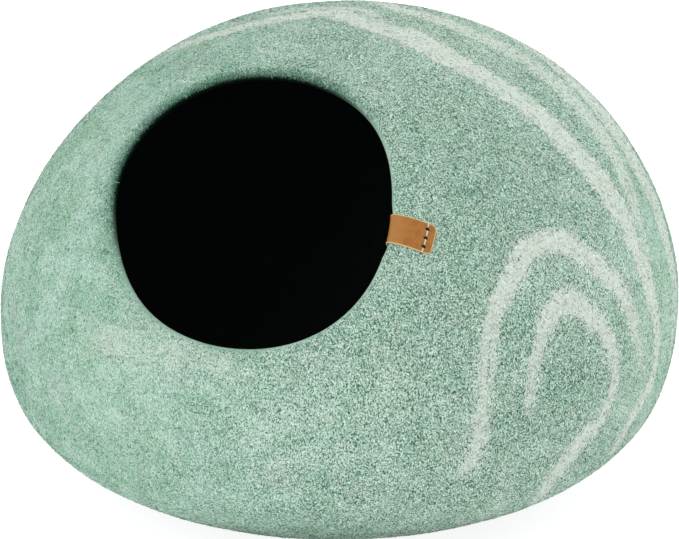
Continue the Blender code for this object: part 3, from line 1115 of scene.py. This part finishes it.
# %% Numbers on its points
leg_ways = leg_rows()[:, 0]
from_fold = np.abs(strip_way - strip_way[-1] / 2)
from_end = np.concatenate((leg_ways, np.full(FOLD_ROWS, TAG_LEG), leg_ways[::-1]))
store(
    leather_tag,
    from_border=np.tile(top_border.ravel(), 2),
    from_fold=np.tile(np.repeat(from_fold, TAG_COLUMNS + 1), 2),
    from_end=np.tile(np.repeat(from_end, TAG_COLUMNS + 1), 2),
    side=np.tile(TAG_WIDTH / 2 * COLUMN_SPREAD, 2 * len(from_end)),
)
print("furthest from the fold:", from_fold.max().round(4), "m")

# %% [markdown]
# ## Stitch holes and thread
# Three holes run across the tag near its free end, and four short stitches of waxed thread join
# them to each other and to the tag's long borders. A Boolean cuts the holes, because a round
# hole through a grid of quads has no simple pattern. The cutters are removed at once.

# %% Cut the stitch holes
STITCH_LINE = 0.0056        # from the tag's free end
HOLE_PITCH = 0.00605
HOLE_LENGTH, HOLE_WIDTH = 0.0033, 0.0022    # along the tag and across it: the thread pulls it long
HOLE_SIDES = 20
HOLES = [(hole, outside) for outside in (True, False) for hole in (-1, 0, 1)]   # on both legs
CUT_ROOM = 0.0004           # the cutters stand this far out of the leather
SHARP_FROM = 50             # degrees: edges that turn more than this stay sharp


def above_leather(side, above, outside, from_end=STITCH_LINE):
    """Points near a leg's outward face, above metres over the leather."""
    side, above = np.asarray(side, dtype=float), np.asarray(above, dtype=float)
    return on_leg(side, np.full_like(side, from_end), leg_lift(outside, TAG_THICKNESS + above))


def hole_frame(hole, outside):
    """A hole's middle, and the unit ways along the tag, across it and out of the leather."""
    low, middle, further = above_leather([hole * HOLE_PITCH] * 3, [-TAG_THICKNESS, 0.0, 0.0], outside,
                                         [STITCH_LINE, STITCH_LINE, STITCH_LINE + MILLIMETRE])
    out = unit(middle - low)
    along = unit(further - middle - out * ((further - middle) @ out))
    return (low + middle) / 2, along, np.cross(out, along), out


def hole_cutter():
    cutter = bmesh.new()
    depth = TAG_THICKNESS + 2 * CUT_ROOM
    for hole, outside in HOLES:
        middle, along, across_tag, out = hole_frame(hole, outside)
        columns = (along * HOLE_LENGTH, across_tag * HOLE_WIDTH, out * depth, middle)
        place = Matrix([*np.column_stack(columns).tolist(), (0, 0, 0, 1)])
        bmesh.ops.create_cone(cutter, cap_ends=True, segments=HOLE_SIDES, radius1=0.5, radius2=0.5,
                              depth=1.0, matrix=place)
    return object_of("stitch_hole_cutter", cutter)


def cut_away(piece, cutter):
    """Leave the piece with the cut mesh, and no modifier or cutter behind."""
    cut = piece.modifiers.new("stitch holes", "BOOLEAN")
    cut.object = cutter
    whole = piece.evaluated_get(bpy.context.evaluated_depsgraph_get())
    mesh = bpy.data.meshes.new_from_object(whole)
    piece.modifiers.clear()
    piece.data = mesh
    bpy.data.objects.remove(cutter)


cut_away(leather_tag, hole_cutter())
leather_tag.data.set_sharp_from_angle(angle=math.radians(SHARP_FROM))
print("leather:", triangles_in(leather_tag), "triangles")

# %% [markdown]
# Under each hole the needle has pushed the wool down, and the pit looks nearly black because it
# lies in shade. The felt's mesh is far too coarse for a pit of 3 mm, so a small dark dish, coloured
# like shaded wool, lies under each hole, between the felt and the leather, as a painted shadow.

# %% The pits under the holes, dark with painted shadow
PIT_SPREAD = 0.62           # half the pit's size, as part of the hole's
PIT_RIM, PIT_MIDDLE = 0.00008, 0.00028      # how far they lie under the leather


def full_turn(count):
    return 2 * np.pi * np.arange(count) / count


def shadow_dish_shapes():
    turns = full_turn(HOLE_SIDES)
    points, faces = [], []
    for hole, outside in HOLES:
        side = hole * HOLE_PITCH + PIT_SPREAD * HOLE_WIDTH * np.cos(turns)
        from_end = STITCH_LINE + PIT_SPREAD * HOLE_LENGTH * np.sin(turns)
        rim = above_leather(side, np.full_like(side, -TAG_THICKNESS - PIT_RIM), outside, from_end)
        middle = above_leather([hole * HOLE_PITCH], [-TAG_THICKNESS - PIT_MIDDLE], outside)
        here = len(points) + np.arange(HOLE_SIDES)
        fan = np.column_stack((here, np.roll(here, -1), np.full_like(here, here[-1] + 1)))
        if np.cross(rim[1] - rim[0], middle[0] - rim[0]) @ hole_frame(hole, outside)[3] < 0:
            fan = fan[:, ::-1]
        points += [*rim.tolist(), *middle.tolist()]
        faces += fan.tolist()
    return points, faces


pit_shadow_dishes = make_piece("pit_shadow_dishes", *shadow_dish_shapes())
print("pits:", triangles_in(pit_shadow_dishes), "triangles")

# %% [markdown]
# The thread has two plies. A tube whose section is a flattened round, turning as it goes,
# shows them as a rope would, with no second tube.

# %% The stitches' paths
THREAD_RADIUS = 0.00055
PLY_TURNS_A_METRE = 520.0
PLY_DEPTH = 0.20
TUBE_SIDES = 12
OFF_HEADING, OFF_UPRIGHT = 0.001, 0.0001    # keep the tube's first side off its heading
# side in hole pitches and height over the leather in mm; a stitch goes down at both its ends
BETWEEN_HOLES = (
    (0.10, -1.25), (0.16, -0.8), (0.22, -0.2), (0.33, 0.34), (0.50, 0.48), (0.67, 0.34), (0.78, -0.2),
    (0.84, -0.8), (0.90, -1.25),
)
TO_THE_BORDER = (
    (1.10, -1.25), (1.16, -0.8), (1.22, -0.2), (1.33, 0.34), (1.46, 0.48), (1.58, 0.40), (1.68, 0.05),
    (1.73, -0.5), (1.74, -1.1),
)
POINTS_KEPT = 4             # every fourth point of a path makes a ring of its tube


def stitch_path(plan, first, direction_sign, outside):
    """Points along a stitch, and their heights over the leather in mm."""
    plan = smooth_curve(np.array(plan))[::POINTS_KEPT]
    side = (first + direction_sign * plan[:, 0]) * HOLE_PITCH
    return above_leather(side, plan[:, 1] * MILLIMETRE, outside), plan[:, 1]


print("points on a stitch's plan:", len(BETWEEN_HOLES))

# %% Sew the thread
def thread_tube(path):
    """Rings of points along a path, and the faces between them and over both ends."""
    heading = unit(np.gradient(path, axis=0))
    aim = path.mean(axis=0) - path[0] + heading[0] * OFF_HEADING + UPRIGHT * OFF_UPRIGHT
    sideways = unit(np.cross(heading, aim)).mean(axis=0)
    sideways = unit(sideways - heading * (heading @ sideways)[:, None])
    third = np.cross(heading, sideways)
    turns = full_turn(TUBE_SIDES)
    ply = turns[None] - 2 * np.pi * PLY_TURNS_A_METRE * way_along(path)[:, None]
    radius = THREAD_RADIUS * (1 - PLY_DEPTH + PLY_DEPTH * np.abs(np.cos(ply)))
    ring = sideways[:, None] * np.cos(turns)[None, :, None] + third[:, None] * np.sin(turns)[None, :, None]
    points = (path[:, None] + ring * radius[..., None]).reshape(-1, 3)
    first_end = np.arange(TUBE_SIDES)
    last_end = first_end + len(points) - TUBE_SIDES
    return points, [*quads_between(len(path), TUBE_SIDES), first_end[::-1].tolist(), last_end.tolist()]


def sew(outside):
    """The four stitches of one leg as one piece, with each point's height stored on it."""
    plans = ((BETWEEN_HOLES, -1, 1), (BETWEEN_HOLES, 0, 1), (TO_THE_BORDER, 0, 1), (TO_THE_BORDER, 0, -1))
    points, faces, heights = [], [], []
    for plan, first, direction_sign in plans:
        path, path_heights = stitch_path(plan, first, direction_sign, outside)
        tube, tube_faces = thread_tube(path)
        faces += [[corner + len(points) for corner in face] for face in tube_faces]
        points += tube.tolist()
        heights += np.repeat(path_heights, TUBE_SIDES).tolist()
    piece = make_piece("stitches_outside" if outside else "stitches_inside", points, faces)
    store(piece, height=heights)
    return piece


stitches = [sew(True), sew(False)]
for piece in stitches:
    print(piece.name, triangles_in(piece), "triangles")

# %% [markdown]
# ## Leather and thread finishes
# Vegetable-tanned leather is an orange tan with soft darker clouds and a fine pebbled grain. It
# is paler where it has been bent, its cut border is raw and pale, and the holes and a thin ring
# round them are near black with painted shade. The numbers stored on the strip place all three.
# The thread is dark with painted shade where it goes into a hole.

# %% Leather
TAN, TAN_DARK, TAN_BENT = (0.38, 0.152, 0.030), (0.26, 0.094, 0.017), (0.42, 0.185, 0.050)
# The second of these is painted shade in and just round the stitch holes.
RAW_BORDER, PAINTED_HOLE_SHADE = (0.66, 0.50, 0.25), (0.012, 0.007, 0.004)
LEATHER_CLOUDS, CLOUDED_PART = (260.0, 0.35, 0.7), 0.6     # clouds a metre, low, high
BENT_BY_FOLD, BENT_PART = (0.016, 0.007), 0.7
PORES_A_METRE, PORE_SIZE, PORE_PART = 1900.0, (0.35, 0.05), 0.35
RAW_BY_BORDER = (0.00075, 0.00035)
LEATHER_ROUGHNESS, RAW_ROUGHER = 0.5, 0.3
HOLE_SHADE_ROUND = (1.35, 1.08)   # the painted shade starts and is full here, in half widths of a hole


def hole_shade_mask(tree):
    """1 at the three holes' own ellipses and just past them: painted shade, near black."""
    pitches = calculate(tree, "DIVIDE", stored(tree, "side"), HOLE_PITCH)
    from_hole = calculate(tree, "SUBTRACT", pitches, calculate(tree, "ROUND", pitches))
    aside = times(tree, from_hole, 2 * HOLE_PITCH / HOLE_WIDTH)
    along = times(tree, calculate(tree, "SUBTRACT", stored(tree, "from_end"), STITCH_LINE), 2 / HOLE_LENGTH)
    squares = [times(tree, value, value) for value in (aside, along)]
    return soft_mask(tree, calculate(tree, "SQRT", calculate(tree, "ADD", *squares)), *HOLE_SHADE_ROUND)


def leather_material():
    material, tree, shader, place = new_material("tan leather", LEATHER_ROUGHNESS)
    pores = add_node(tree, "ShaderNodeTexVoronoi", {"Vector": place, "Scale": PORES_A_METRE})["Distance"]
    raw = soft_mask(tree, stored(tree, "from_border"), *RAW_BY_BORDER)
    colour = lay_over(
        tree, TAN,
        (times(tree, cloud_mask(tree, place, *LEATHER_CLOUDS), CLOUDED_PART), TAN_DARK),
        (times(tree, soft_mask(tree, stored(tree, "from_fold"), *BENT_BY_FOLD), BENT_PART), TAN_BENT),
        (times(tree, soft_mask(tree, pores, *PORE_SIZE), PORE_PART), TAN_DARK),
        (raw, RAW_BORDER),
        (hole_shade_mask(tree), PAINTED_HOLE_SHADE),
    )
    grain = bump(tree, pores, strength=0.35, depth=0.00025)
    rough = times(tree, raw, RAW_ROUGHER, LEATHER_ROUGHNESS)
    set_inputs(tree, shader, {"Base Color": colour, "Roughness": rough, "Normal": grain,
                              "Specular IOR Level": 0.25})
    return material


dress(leather_material(), leather_tag)

# %% Thread
# The last shade here is painted shade, where the thread goes down into a hole.
THREAD_CREAM, THREAD_SHADE, THREAD_PAINTED_SHADOW = (0.82, 0.73, 0.56), (0.52, 0.41, 0.27), (0.020, 0.013, 0.008)
HAIRS = (4200.0, 6.0, 0.0, 700.0)           # strokes a metre, stretch, seed, patches a metre
HAIRS_SHADE = (0.62, 0.40)
SUNK_FROM = (0.15, -0.25)   # heights over the leather, in mm, where the painted shade of the hole starts and is full


def thread_material():
    material, tree, shader, place = new_material("waxed thread", roughness=0.6)
    hairs = lay_strokes(tree, place, *HAIRS)
    colour = lay_over(tree, THREAD_CREAM, (soft_mask(tree, hairs, *HAIRS_SHADE), THREAD_SHADE),
                      (soft_mask(tree, stored(tree, "height"), *SUNK_FROM), THREAD_PAINTED_SHADOW))
    twist = bump(tree, hairs, strength=0.4, depth=0.0001)
    set_inputs(tree, shader, {"Base Color": colour, "Normal": twist})
    return material


dress(thread_material(), *stitches)

# %% Painted shadow in the pits
PIT_PAINTED_SHADOW, PIT_SHADOW_FLECK = (0.006, 0.007, 0.006), (0.022, 0.030, 0.025)
PIT_STROKES_A_METRE, PIT_SHOW = 3500.0, (0.45, 0.65)


def pit_shadow_material():
    material, tree, shader, place = new_material("painted pit shadow", roughness=0.95)
    green = soft_mask(tree, lay_strokes(tree, place, PIT_STROKES_A_METRE), *PIT_SHOW)
    set_inputs(tree, shader, {"Base Color": mix_colours(tree, green, PIT_PAINTED_SHADOW, PIT_SHADOW_FLECK)})
    return material


dress(pit_shadow_material(), pit_shadow_dishes)

# %% [markdown]
# ## Loose fibres
# The eye knows felt by its fibres: short curled hairs, light and dark, that lie across each
# other, stand off the outline and soften the doorway's edge. A bump texture gives none of that.
# Hair curves would look right here, but they aren't a mesh, so each fibre is a narrow ribbon of
# two quads, lying on the felt with its ends tucked in. Each shade of wool is one mesh.

# %% Where fibres start
FIBRE_SEED = 20
FIBRES_OUTSIDE, FIBRES_INSIDE = 214000, 7000
CLEAR_OF_TAG = 0.0024
CLEAR_OF_FLOOR = 0.003
rng = np.random.default_rng(FIBRE_SEED)


def scatter(fields, count):
    """Random rows of a closed grid's fields, spread evenly over its area.

    The first three fields are a point and the next three its normal.
    """
    corners = (fields[:-1], fields[1:], np.roll(fields[:-1], -1, axis=1), np.roll(fields[1:], -1, axis=1))
    a, b, c = (corner[..., :3] for corner in corners[:3])
    area = np.linalg.norm(np.cross(b - a, c - a), axis=-1).ravel()
    chosen = rng.choice(area.size, count, p=area / area.sum())
    down, aside = rng.random(count)[:, None], rng.random(count)[:, None]
    shares = ((1 - down) * (1 - aside), down * (1 - aside), (1 - down) * aside, down * aside)
    width = fields.shape[-1]
    return sum(share * corner.reshape(-1, width)[chosen] for share, corner in zip(shares, corners))


def clear_of_tag_and_floor(points):
    tag_tree = tree_of(leather_top.reshape(-1, 3))
    off_tag = np.array([tag_tree.find(point)[2] > CLEAR_OF_TAG for point in points])
    return off_tag & (points[:, 2] > CLEAR_OF_FLOOR)


EDGE_RINGS = 5              # fibres also lie on this many rings of the doorway's rounded edge
SHADED_EDGE = 0.0022        # but none lie nearer to its middle than this,
LIT_EDGE = 0.006            # or than this where it is lit
ring_span = slice(outer_first - EDGE_RINGS, None)
edge_normals = ring_normals(rings[ring_span])
edge_normals *= np.sign((edge_normals[EDGE_RINGS:] * normals).sum())
shaded_of_rings = np.broadcast_to(shaded, edge_way[ring_span].shape)
ways_of_rings = np.concatenate((np.repeat(outer_ways[:1], EDGE_RINGS, axis=0), outer_ways))
fields = (rings[ring_span], edge_normals, ways_of_rings, edge_way[ring_span][..., None],
          shaded_of_rings[..., None])
scattered = scatter(np.concatenate(fields, axis=-1), FIBRES_OUTSIDE)
scattered = np.split(scattered, np.cumsum([field.shape[-1] for field in fields])[:-1], axis=1)
starts, _, _, start_way, start_shaded = scattered
nearest = np.where(rng.random((FIBRES_OUTSIDE, 1)) > start_shaded, LIT_EDGE, SHADED_EDGE)
kept = clear_of_tag_and_floor(starts) & (start_way > nearest)[:, 0]
starts, start_normals, start_ways, start_way, start_shaded = [field[kept] for field in scattered]
start_normals, start_ways = unit(start_normals), unit(start_ways)
start_edge, _, _, start_strength = band_place(starts, start_normals)
print("fibres outside:", len(starts))

# %% [markdown]
# Fibres of six shades are mixed, and each takes its shade by chance. The chances change slowly
# from the finely carded sides, where few are very pale or very dark, to the coarser wool in the
# middle. A band has its own warm white, and the shaded edge is mostly dark green.
# The dark fibres on the shaded edge are painted shade, and the patch tables that shift the chances hold
# painted shade and painted highlights too.

# %% Share the fibres between the shades
CHANCES = {
    # shade: at the sides, in the middle, in a band, on the shaded edge
    "cream":      (0.16, 0.32, 0.02, 0.00),
    "band_white": (0.00, 0.00, 0.64, 0.00),
    "pale_green": (0.31, 0.17, 0.14, 0.02),
    "sea_green":  (0.28, 0.17, 0.06, 0.12),
    "grey_green": (0.13, 0.07, 0.08, 0.06),
    "dark_green": (0.12, 0.27, 0.06, 0.80),
}
CLOUD_CHANGE = 0.11         # in paler wool this much of the chance goes from dark to cream
PATCH_CHANGE = 0.15         # and this much in a patch of the tables
FULL_CLOUD = 0.30
EDGE_WANDER = 0.0016        # single fibres of a band lie this far to either side of its edge
SHARE_BY_EDGE = (0.0030, -0.0040)   # ways past a band's edge where its chances start and are full
SWIRL, SWIRL_TURNS = 0.016, 1.5     # fibres turn together over this length, by so many turns
SWIRL_AXIS = direction(0.0, 0.0) + 0.3 * UPRIGHT
AT_ODDS = 0.8                       # radians: the spread of single fibres about that
SHADED_ZONE = (0.0120, 0.0040)      # where the doorway's shade starts and where it is full


def shade_of_fibres():
    at_sides, in_middle, in_a_band, on_edge = np.array(list(CHANCES.values())).T
    coarser = smooth_step(*COARSER_FROM, starts[:, 0]) * (1 - smooth_step(*FINER_FROM, starts[:, 0]))
    chance = at_sides + coarser[:, None] * (in_middle - at_sides)
    paler = CLOUD_CHANGE * np.clip(wool_clouds(starts) / FULL_CLOUD, -1.0, 1.0)
    paler += PATCH_CHANGE * (patches(PALER_GREEN, start_ways) - patches(DEEPER_GREEN, start_ways))
    chance[:, 0] += paler
    chance[:, -1] -= paler
    wander = rng.normal(0.0, EDGE_WANDER, len(starts))
    in_band = smooth_step(*SHARE_BY_EDGE, start_edge + wander) * start_strength
    chance += in_band[:, None] * (in_a_band - chance)
    chance += smooth_step(*SHADED_ZONE, start_way) * start_shaded * (on_edge - chance)
    limits = np.cumsum(chance, axis=1)
    return (rng.random(len(starts))[:, None] > limits).sum(axis=1).clip(0, len(CHANCES) - 1)


def headings_of_fibres(points, outs):
    """Fibres turn together in swirls, with some at odds."""
    first = unit(np.cross(outs, SWIRL_AXIS))
    second = np.cross(outs, first)
    turn = 2 * np.pi * SWIRL_TURNS * noise_at(points, SWIRL) + rng.normal(0.0, AT_ODDS, len(points))
    return first * np.cos(turn)[:, None] + second * np.sin(turn)[:, None]


shade_numbers = shade_of_fibres()
headings = headings_of_fibres(starts, start_normals)
print("fibres of each shade:", dict(zip(CHANCES, np.bincount(shade_numbers).tolist())))

# %% Make the ribbons
FIBRE_LENGTH = (0.0014, 0.0036)
FIBRE_WIDTH = (0.00026, 0.00042)
FIBRE_RISE = (0.00012, 0.00036)
LOOSE_PART = 0.10           # of the fibres have one free end
LOOSE_RISE = (0.0003, 0.0009)
LOOSE_SHAPE = (-0.05, 0.35, 1.0)    # height of such a fibre's three steps, as part of its rise
TUCK = 0.00010              # how far a fibre's ends go into the felt
FIBRE_CURL, FIBRE_ROLL = 0.35, 0.55         # how far they spread round a straight, flat ribbon
RIBBON_STEPS = np.array((-0.5, 0.0, 0.5))
RIBBON_TAPER = np.array((0.5, 1.0, 0.4))
POINTS_A_RIBBON = 2 * len(RIBBON_STEPS)


def ribbon_points(points, outs, along):
    count = len(points)
    length = rng.uniform(*FIBRE_LENGTH, count)
    aside = np.cross(outs, along)
    curl = rng.normal(0.0, FIBRE_CURL, count)
    roll = rng.normal(0.0, FIBRE_ROLL, count)
    rise = rng.uniform(*FIBRE_RISE, count)[:, None] * (0.0, 1.0, 0.0) + np.array((-TUCK, 0.0, -TUCK))
    loose = rng.random(count) < LOOSE_PART
    free_end = rng.uniform(*LOOSE_RISE, count)[:, None] * LOOSE_SHAPE
    rise = np.where(loose[:, None], free_end, rise)
    forwards = length[:, None] * RIBBON_STEPS
    bend = (curl * length)[:, None] * (RIBBON_STEPS ** 2 - 1 / 12)
    middle = (points[:, None] + along[:, None] * forwards[..., None] + aside[:, None] * bend[..., None]
              + outs[:, None] * rise[..., None])
    half = rng.uniform(*FIBRE_WIDTH, count)[:, None, None] / 2 * RIBBON_TAPER[None, :, None]
    sideways = (aside * np.cos(roll)[:, None] + outs * np.sin(roll)[:, None])[:, None] * half
    return np.stack((middle - sideways, middle + sideways), axis=2)


CELL_LENGTH, CELL_SIDES = (0.15, 0.85), (0.2, 0.8)     # the part of its map cell that a fibre fills


def ribbon_map(count):
    """Each fibre's own small cell of a square map, and the places of its points in it."""
    cells = math.ceil(math.sqrt(count))
    number = np.arange(count)
    low = np.stack((number % cells, number // cells), axis=1) / cells
    steps = np.linspace(*CELL_LENGTH, len(RIBBON_STEPS))
    in_cell = np.array([(step, side) for step in steps for side in CELL_SIDES]) / cells
    return low[:, None] + in_cell


def add_fibres(name, points, outs, along):
    ribbons = ribbon_points(points, outs, along)
    ribbons[..., 2] = np.maximum(ribbons[..., 2], TUCK)
    first = np.arange(len(points))[:, None, None] * POINTS_A_RIBBON
    quads = first + np.array([(k, k + 1, k + 3, k + 2) for k in range(0, POINTS_A_RIBBON - 2, 2)])
    piece = make_piece(name, ribbons.reshape(-1, 3), quads.reshape(-1, 4).tolist())
    store(piece, fibre_shade=np.repeat(rng.random(len(points)), POINTS_A_RIBBON))
    store_flat_map(piece, ribbon_map(len(points)).reshape(-1, 2)[quads.ravel()])
    return piece


INNER_RINGS_SHOWN = 24      # rings of the inner face that one can see through the doorway
fibres = {}
for number, shade in enumerate(CHANCES):
    chosen = shade_numbers == number
    fibres[shade] = add_fibres(f"fibres_{shade}", starts[chosen], start_normals[chosen], headings[chosen])
inner_fields = np.concatenate((inner, -normals[::INNER_SKIP]), axis=-1)[:INNER_RINGS_SHOWN]
inner_starts, inner_normals = np.split(scatter(inner_fields, FIBRES_INSIDE), 2, axis=1)
inner_normals = unit(inner_normals)
fibres["inside"] = add_fibres("fibres_inside", inner_starts, inner_normals,
                              headings_of_fibres(inner_starts, inner_normals))
for piece in fibres.values():
    print(piece.name, triangles_in(piece), "triangles")

# %% Finish of the fibres
FIBRE_COLOURS = {
    # shade: darker fibres, lighter fibres
    "cream": ((0.57, 0.70, 0.61), (0.85, 0.93, 0.85)),
    "band_white": ((0.59, 0.62, 0.57), (0.87, 0.87, 0.82)),
    "pale_green": ((0.32, 0.50, 0.40), (0.52, 0.71, 0.59)),
    "sea_green": ((0.14, 0.35, 0.24), (0.26, 0.50, 0.365)),
    "grey_green": ((0.20, 0.29, 0.24), (0.35, 0.46, 0.40)),
    "dark_green": ((0.020, 0.068, 0.045), (0.085, 0.20, 0.140)),
    "inside": ((0.008, 0.013, 0.011), (0.035, 0.050, 0.043)),
}
FIBRE_CLOUDS = (60.0, 0.3, 0.7)     # clouds a metre, low, high
OWN_PART, CLOUD_PART = 0.7, 0.3     # a fibre's shade is partly its own and partly its cloud's
SHEEN_TINT = (0.80, 0.92, 0.86, 1.0)


def fibre_material(shade):
    material, tree, shader, place = new_material(f"wool fibres {shade}", roughness=0.85)
    clouds = times(tree, cloud_mask(tree, place, *FIBRE_CLOUDS), CLOUD_PART)
    part = times(tree, stored(tree, "fibre_shade"), OWN_PART, clouds)
    colour = shaded_below(tree, place, mix_colours(tree, part, *FIBRE_COLOURS[shade]))
    set_inputs(tree, shader, {"Base Color": colour, "Specular IOR Level": 0.2, "Sheen Weight": 0.25,
                              "Sheen Roughness": 0.4, "Sheen Tint": SHEEN_TINT})
    return material


for shade, piece in fibres.items():
    dress(fibre_material(shade), piece)

# %% [markdown]
# ## Tie the pieces to the solids
# Nothing on the cave moves by itself, so every piece rides on the one body. The felt and the
# leather stand for the plain solids, which are hidden. The felt was two round faces, joined all
# round, and the tag is a short strip, folded once.

for piece in (felt_cave, leather_tag, pit_shadow_dishes, *stitches, *fibres.values()):
    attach(piece, "root")
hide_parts("felt_shell")
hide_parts("leather_tag")

# %% [markdown]
# ## A white studio
# The photograph is a bright product shot: white all round and almost no shadow, so the light is
# a white world, one large soft lamp from the left, a rim lamp from behind on the right, which
# lights that outline, and a pale floor. As on a light table, the floor glows from below, which
# keeps the shadow under the cave faint. The colours are shown with the Standard view, because
# the default one greys a white floor.

# %% Floor, world and lamps
FLOOR_SIDE = 12.0
FLOOR_COLOUR = (0.30, 0.30, 0.30)
FLOOR_GLOW = 0.84
WORLD_STRENGTH = 0.87
WHITE = (1.0, 1.0, 1.0, 1.0)
LAMPS = (
    # name, place, aim, width, watts
    ("soft lamp", (-1.5, -1.4, 1.7), (0.0, 0.0, 0.13), 1.6, 17.0),
    ("rim lamp", (1.6, 0.9, 0.9), (0.05, 0.0, 0.15), 1.2, 14.0),
)


def add_floor():
    shape = bmesh.new()
    bmesh.ops.create_grid(shape, x_segments=1, y_segments=1, size=FLOOR_SIDE / 2)
    floor = object_of("studio_floor", shape)
    material, tree, shader, _ = new_material("studio floor", roughness=0.9)
    set_inputs(tree, shader, {"Base Color": (*FLOOR_COLOUR, 1.0), "Specular IOR Level": 0.0,
                              "Emission Color": WHITE, "Emission Strength": FLOOR_GLOW})
    dress(material, floor)


def add_lamp(name, place, aim, width, power):
    light = bpy.data.lights.new(name, "AREA")
    light.size = width
    light.energy = power
    lamp = add_object(name, light)
    lamp.location = place
    lamp.rotation_euler = (Vector(aim) - Vector(place)).to_track_quat("-Z", "Y").to_euler()


add_floor()
world = bpy.data.worlds.new("white studio")
world.use_nodes = True
background = world.node_tree.nodes["Background"]
set_inputs(world.node_tree, background, {"Color": WHITE, "Strength": WORLD_STRENGTH})
bpy.context.scene.world = world
bpy.context.scene.view_settings.view_transform = "Standard"
for lamp in LAMPS:
    add_lamp(*lamp)

# %% [markdown]
# ## The camera
# The photograph looks down at the cave by 26 degrees from straight in front, from far enough
# away that the pebble is hardly foreshortened. The lens follows from how many pixels a
# metre takes at that distance.

# %% Camera
LOOK_DOWN = 26.0            # degrees
DISTANCE = 1.6
TARGET = Vector((0.0005, 0.0, 0.1318))
PHOTO_WIDTH = 679           # pixels
FOCAL_PIXELS = 2250         # pixels: focal length in the photograph's own pixels
SENSOR = 36.0

camera_data = bpy.data.cameras.new("camera")
camera_data.sensor_width = SENSOR
camera_data.lens = SENSOR * FOCAL_PIXELS / PHOTO_WIDTH
camera = add_object("camera", camera_data)
down = math.radians(LOOK_DOWN)
camera.location = TARGET + Vector((0.0, -math.cos(down), math.sin(down))) * DISTANCE
camera.rotation_euler = (math.pi / 2 - down, 0.0, 0.0)
bpy.context.scene.camera = camera
print(f"lens: {camera_data.lens:.1f} mm at {DISTANCE} m")
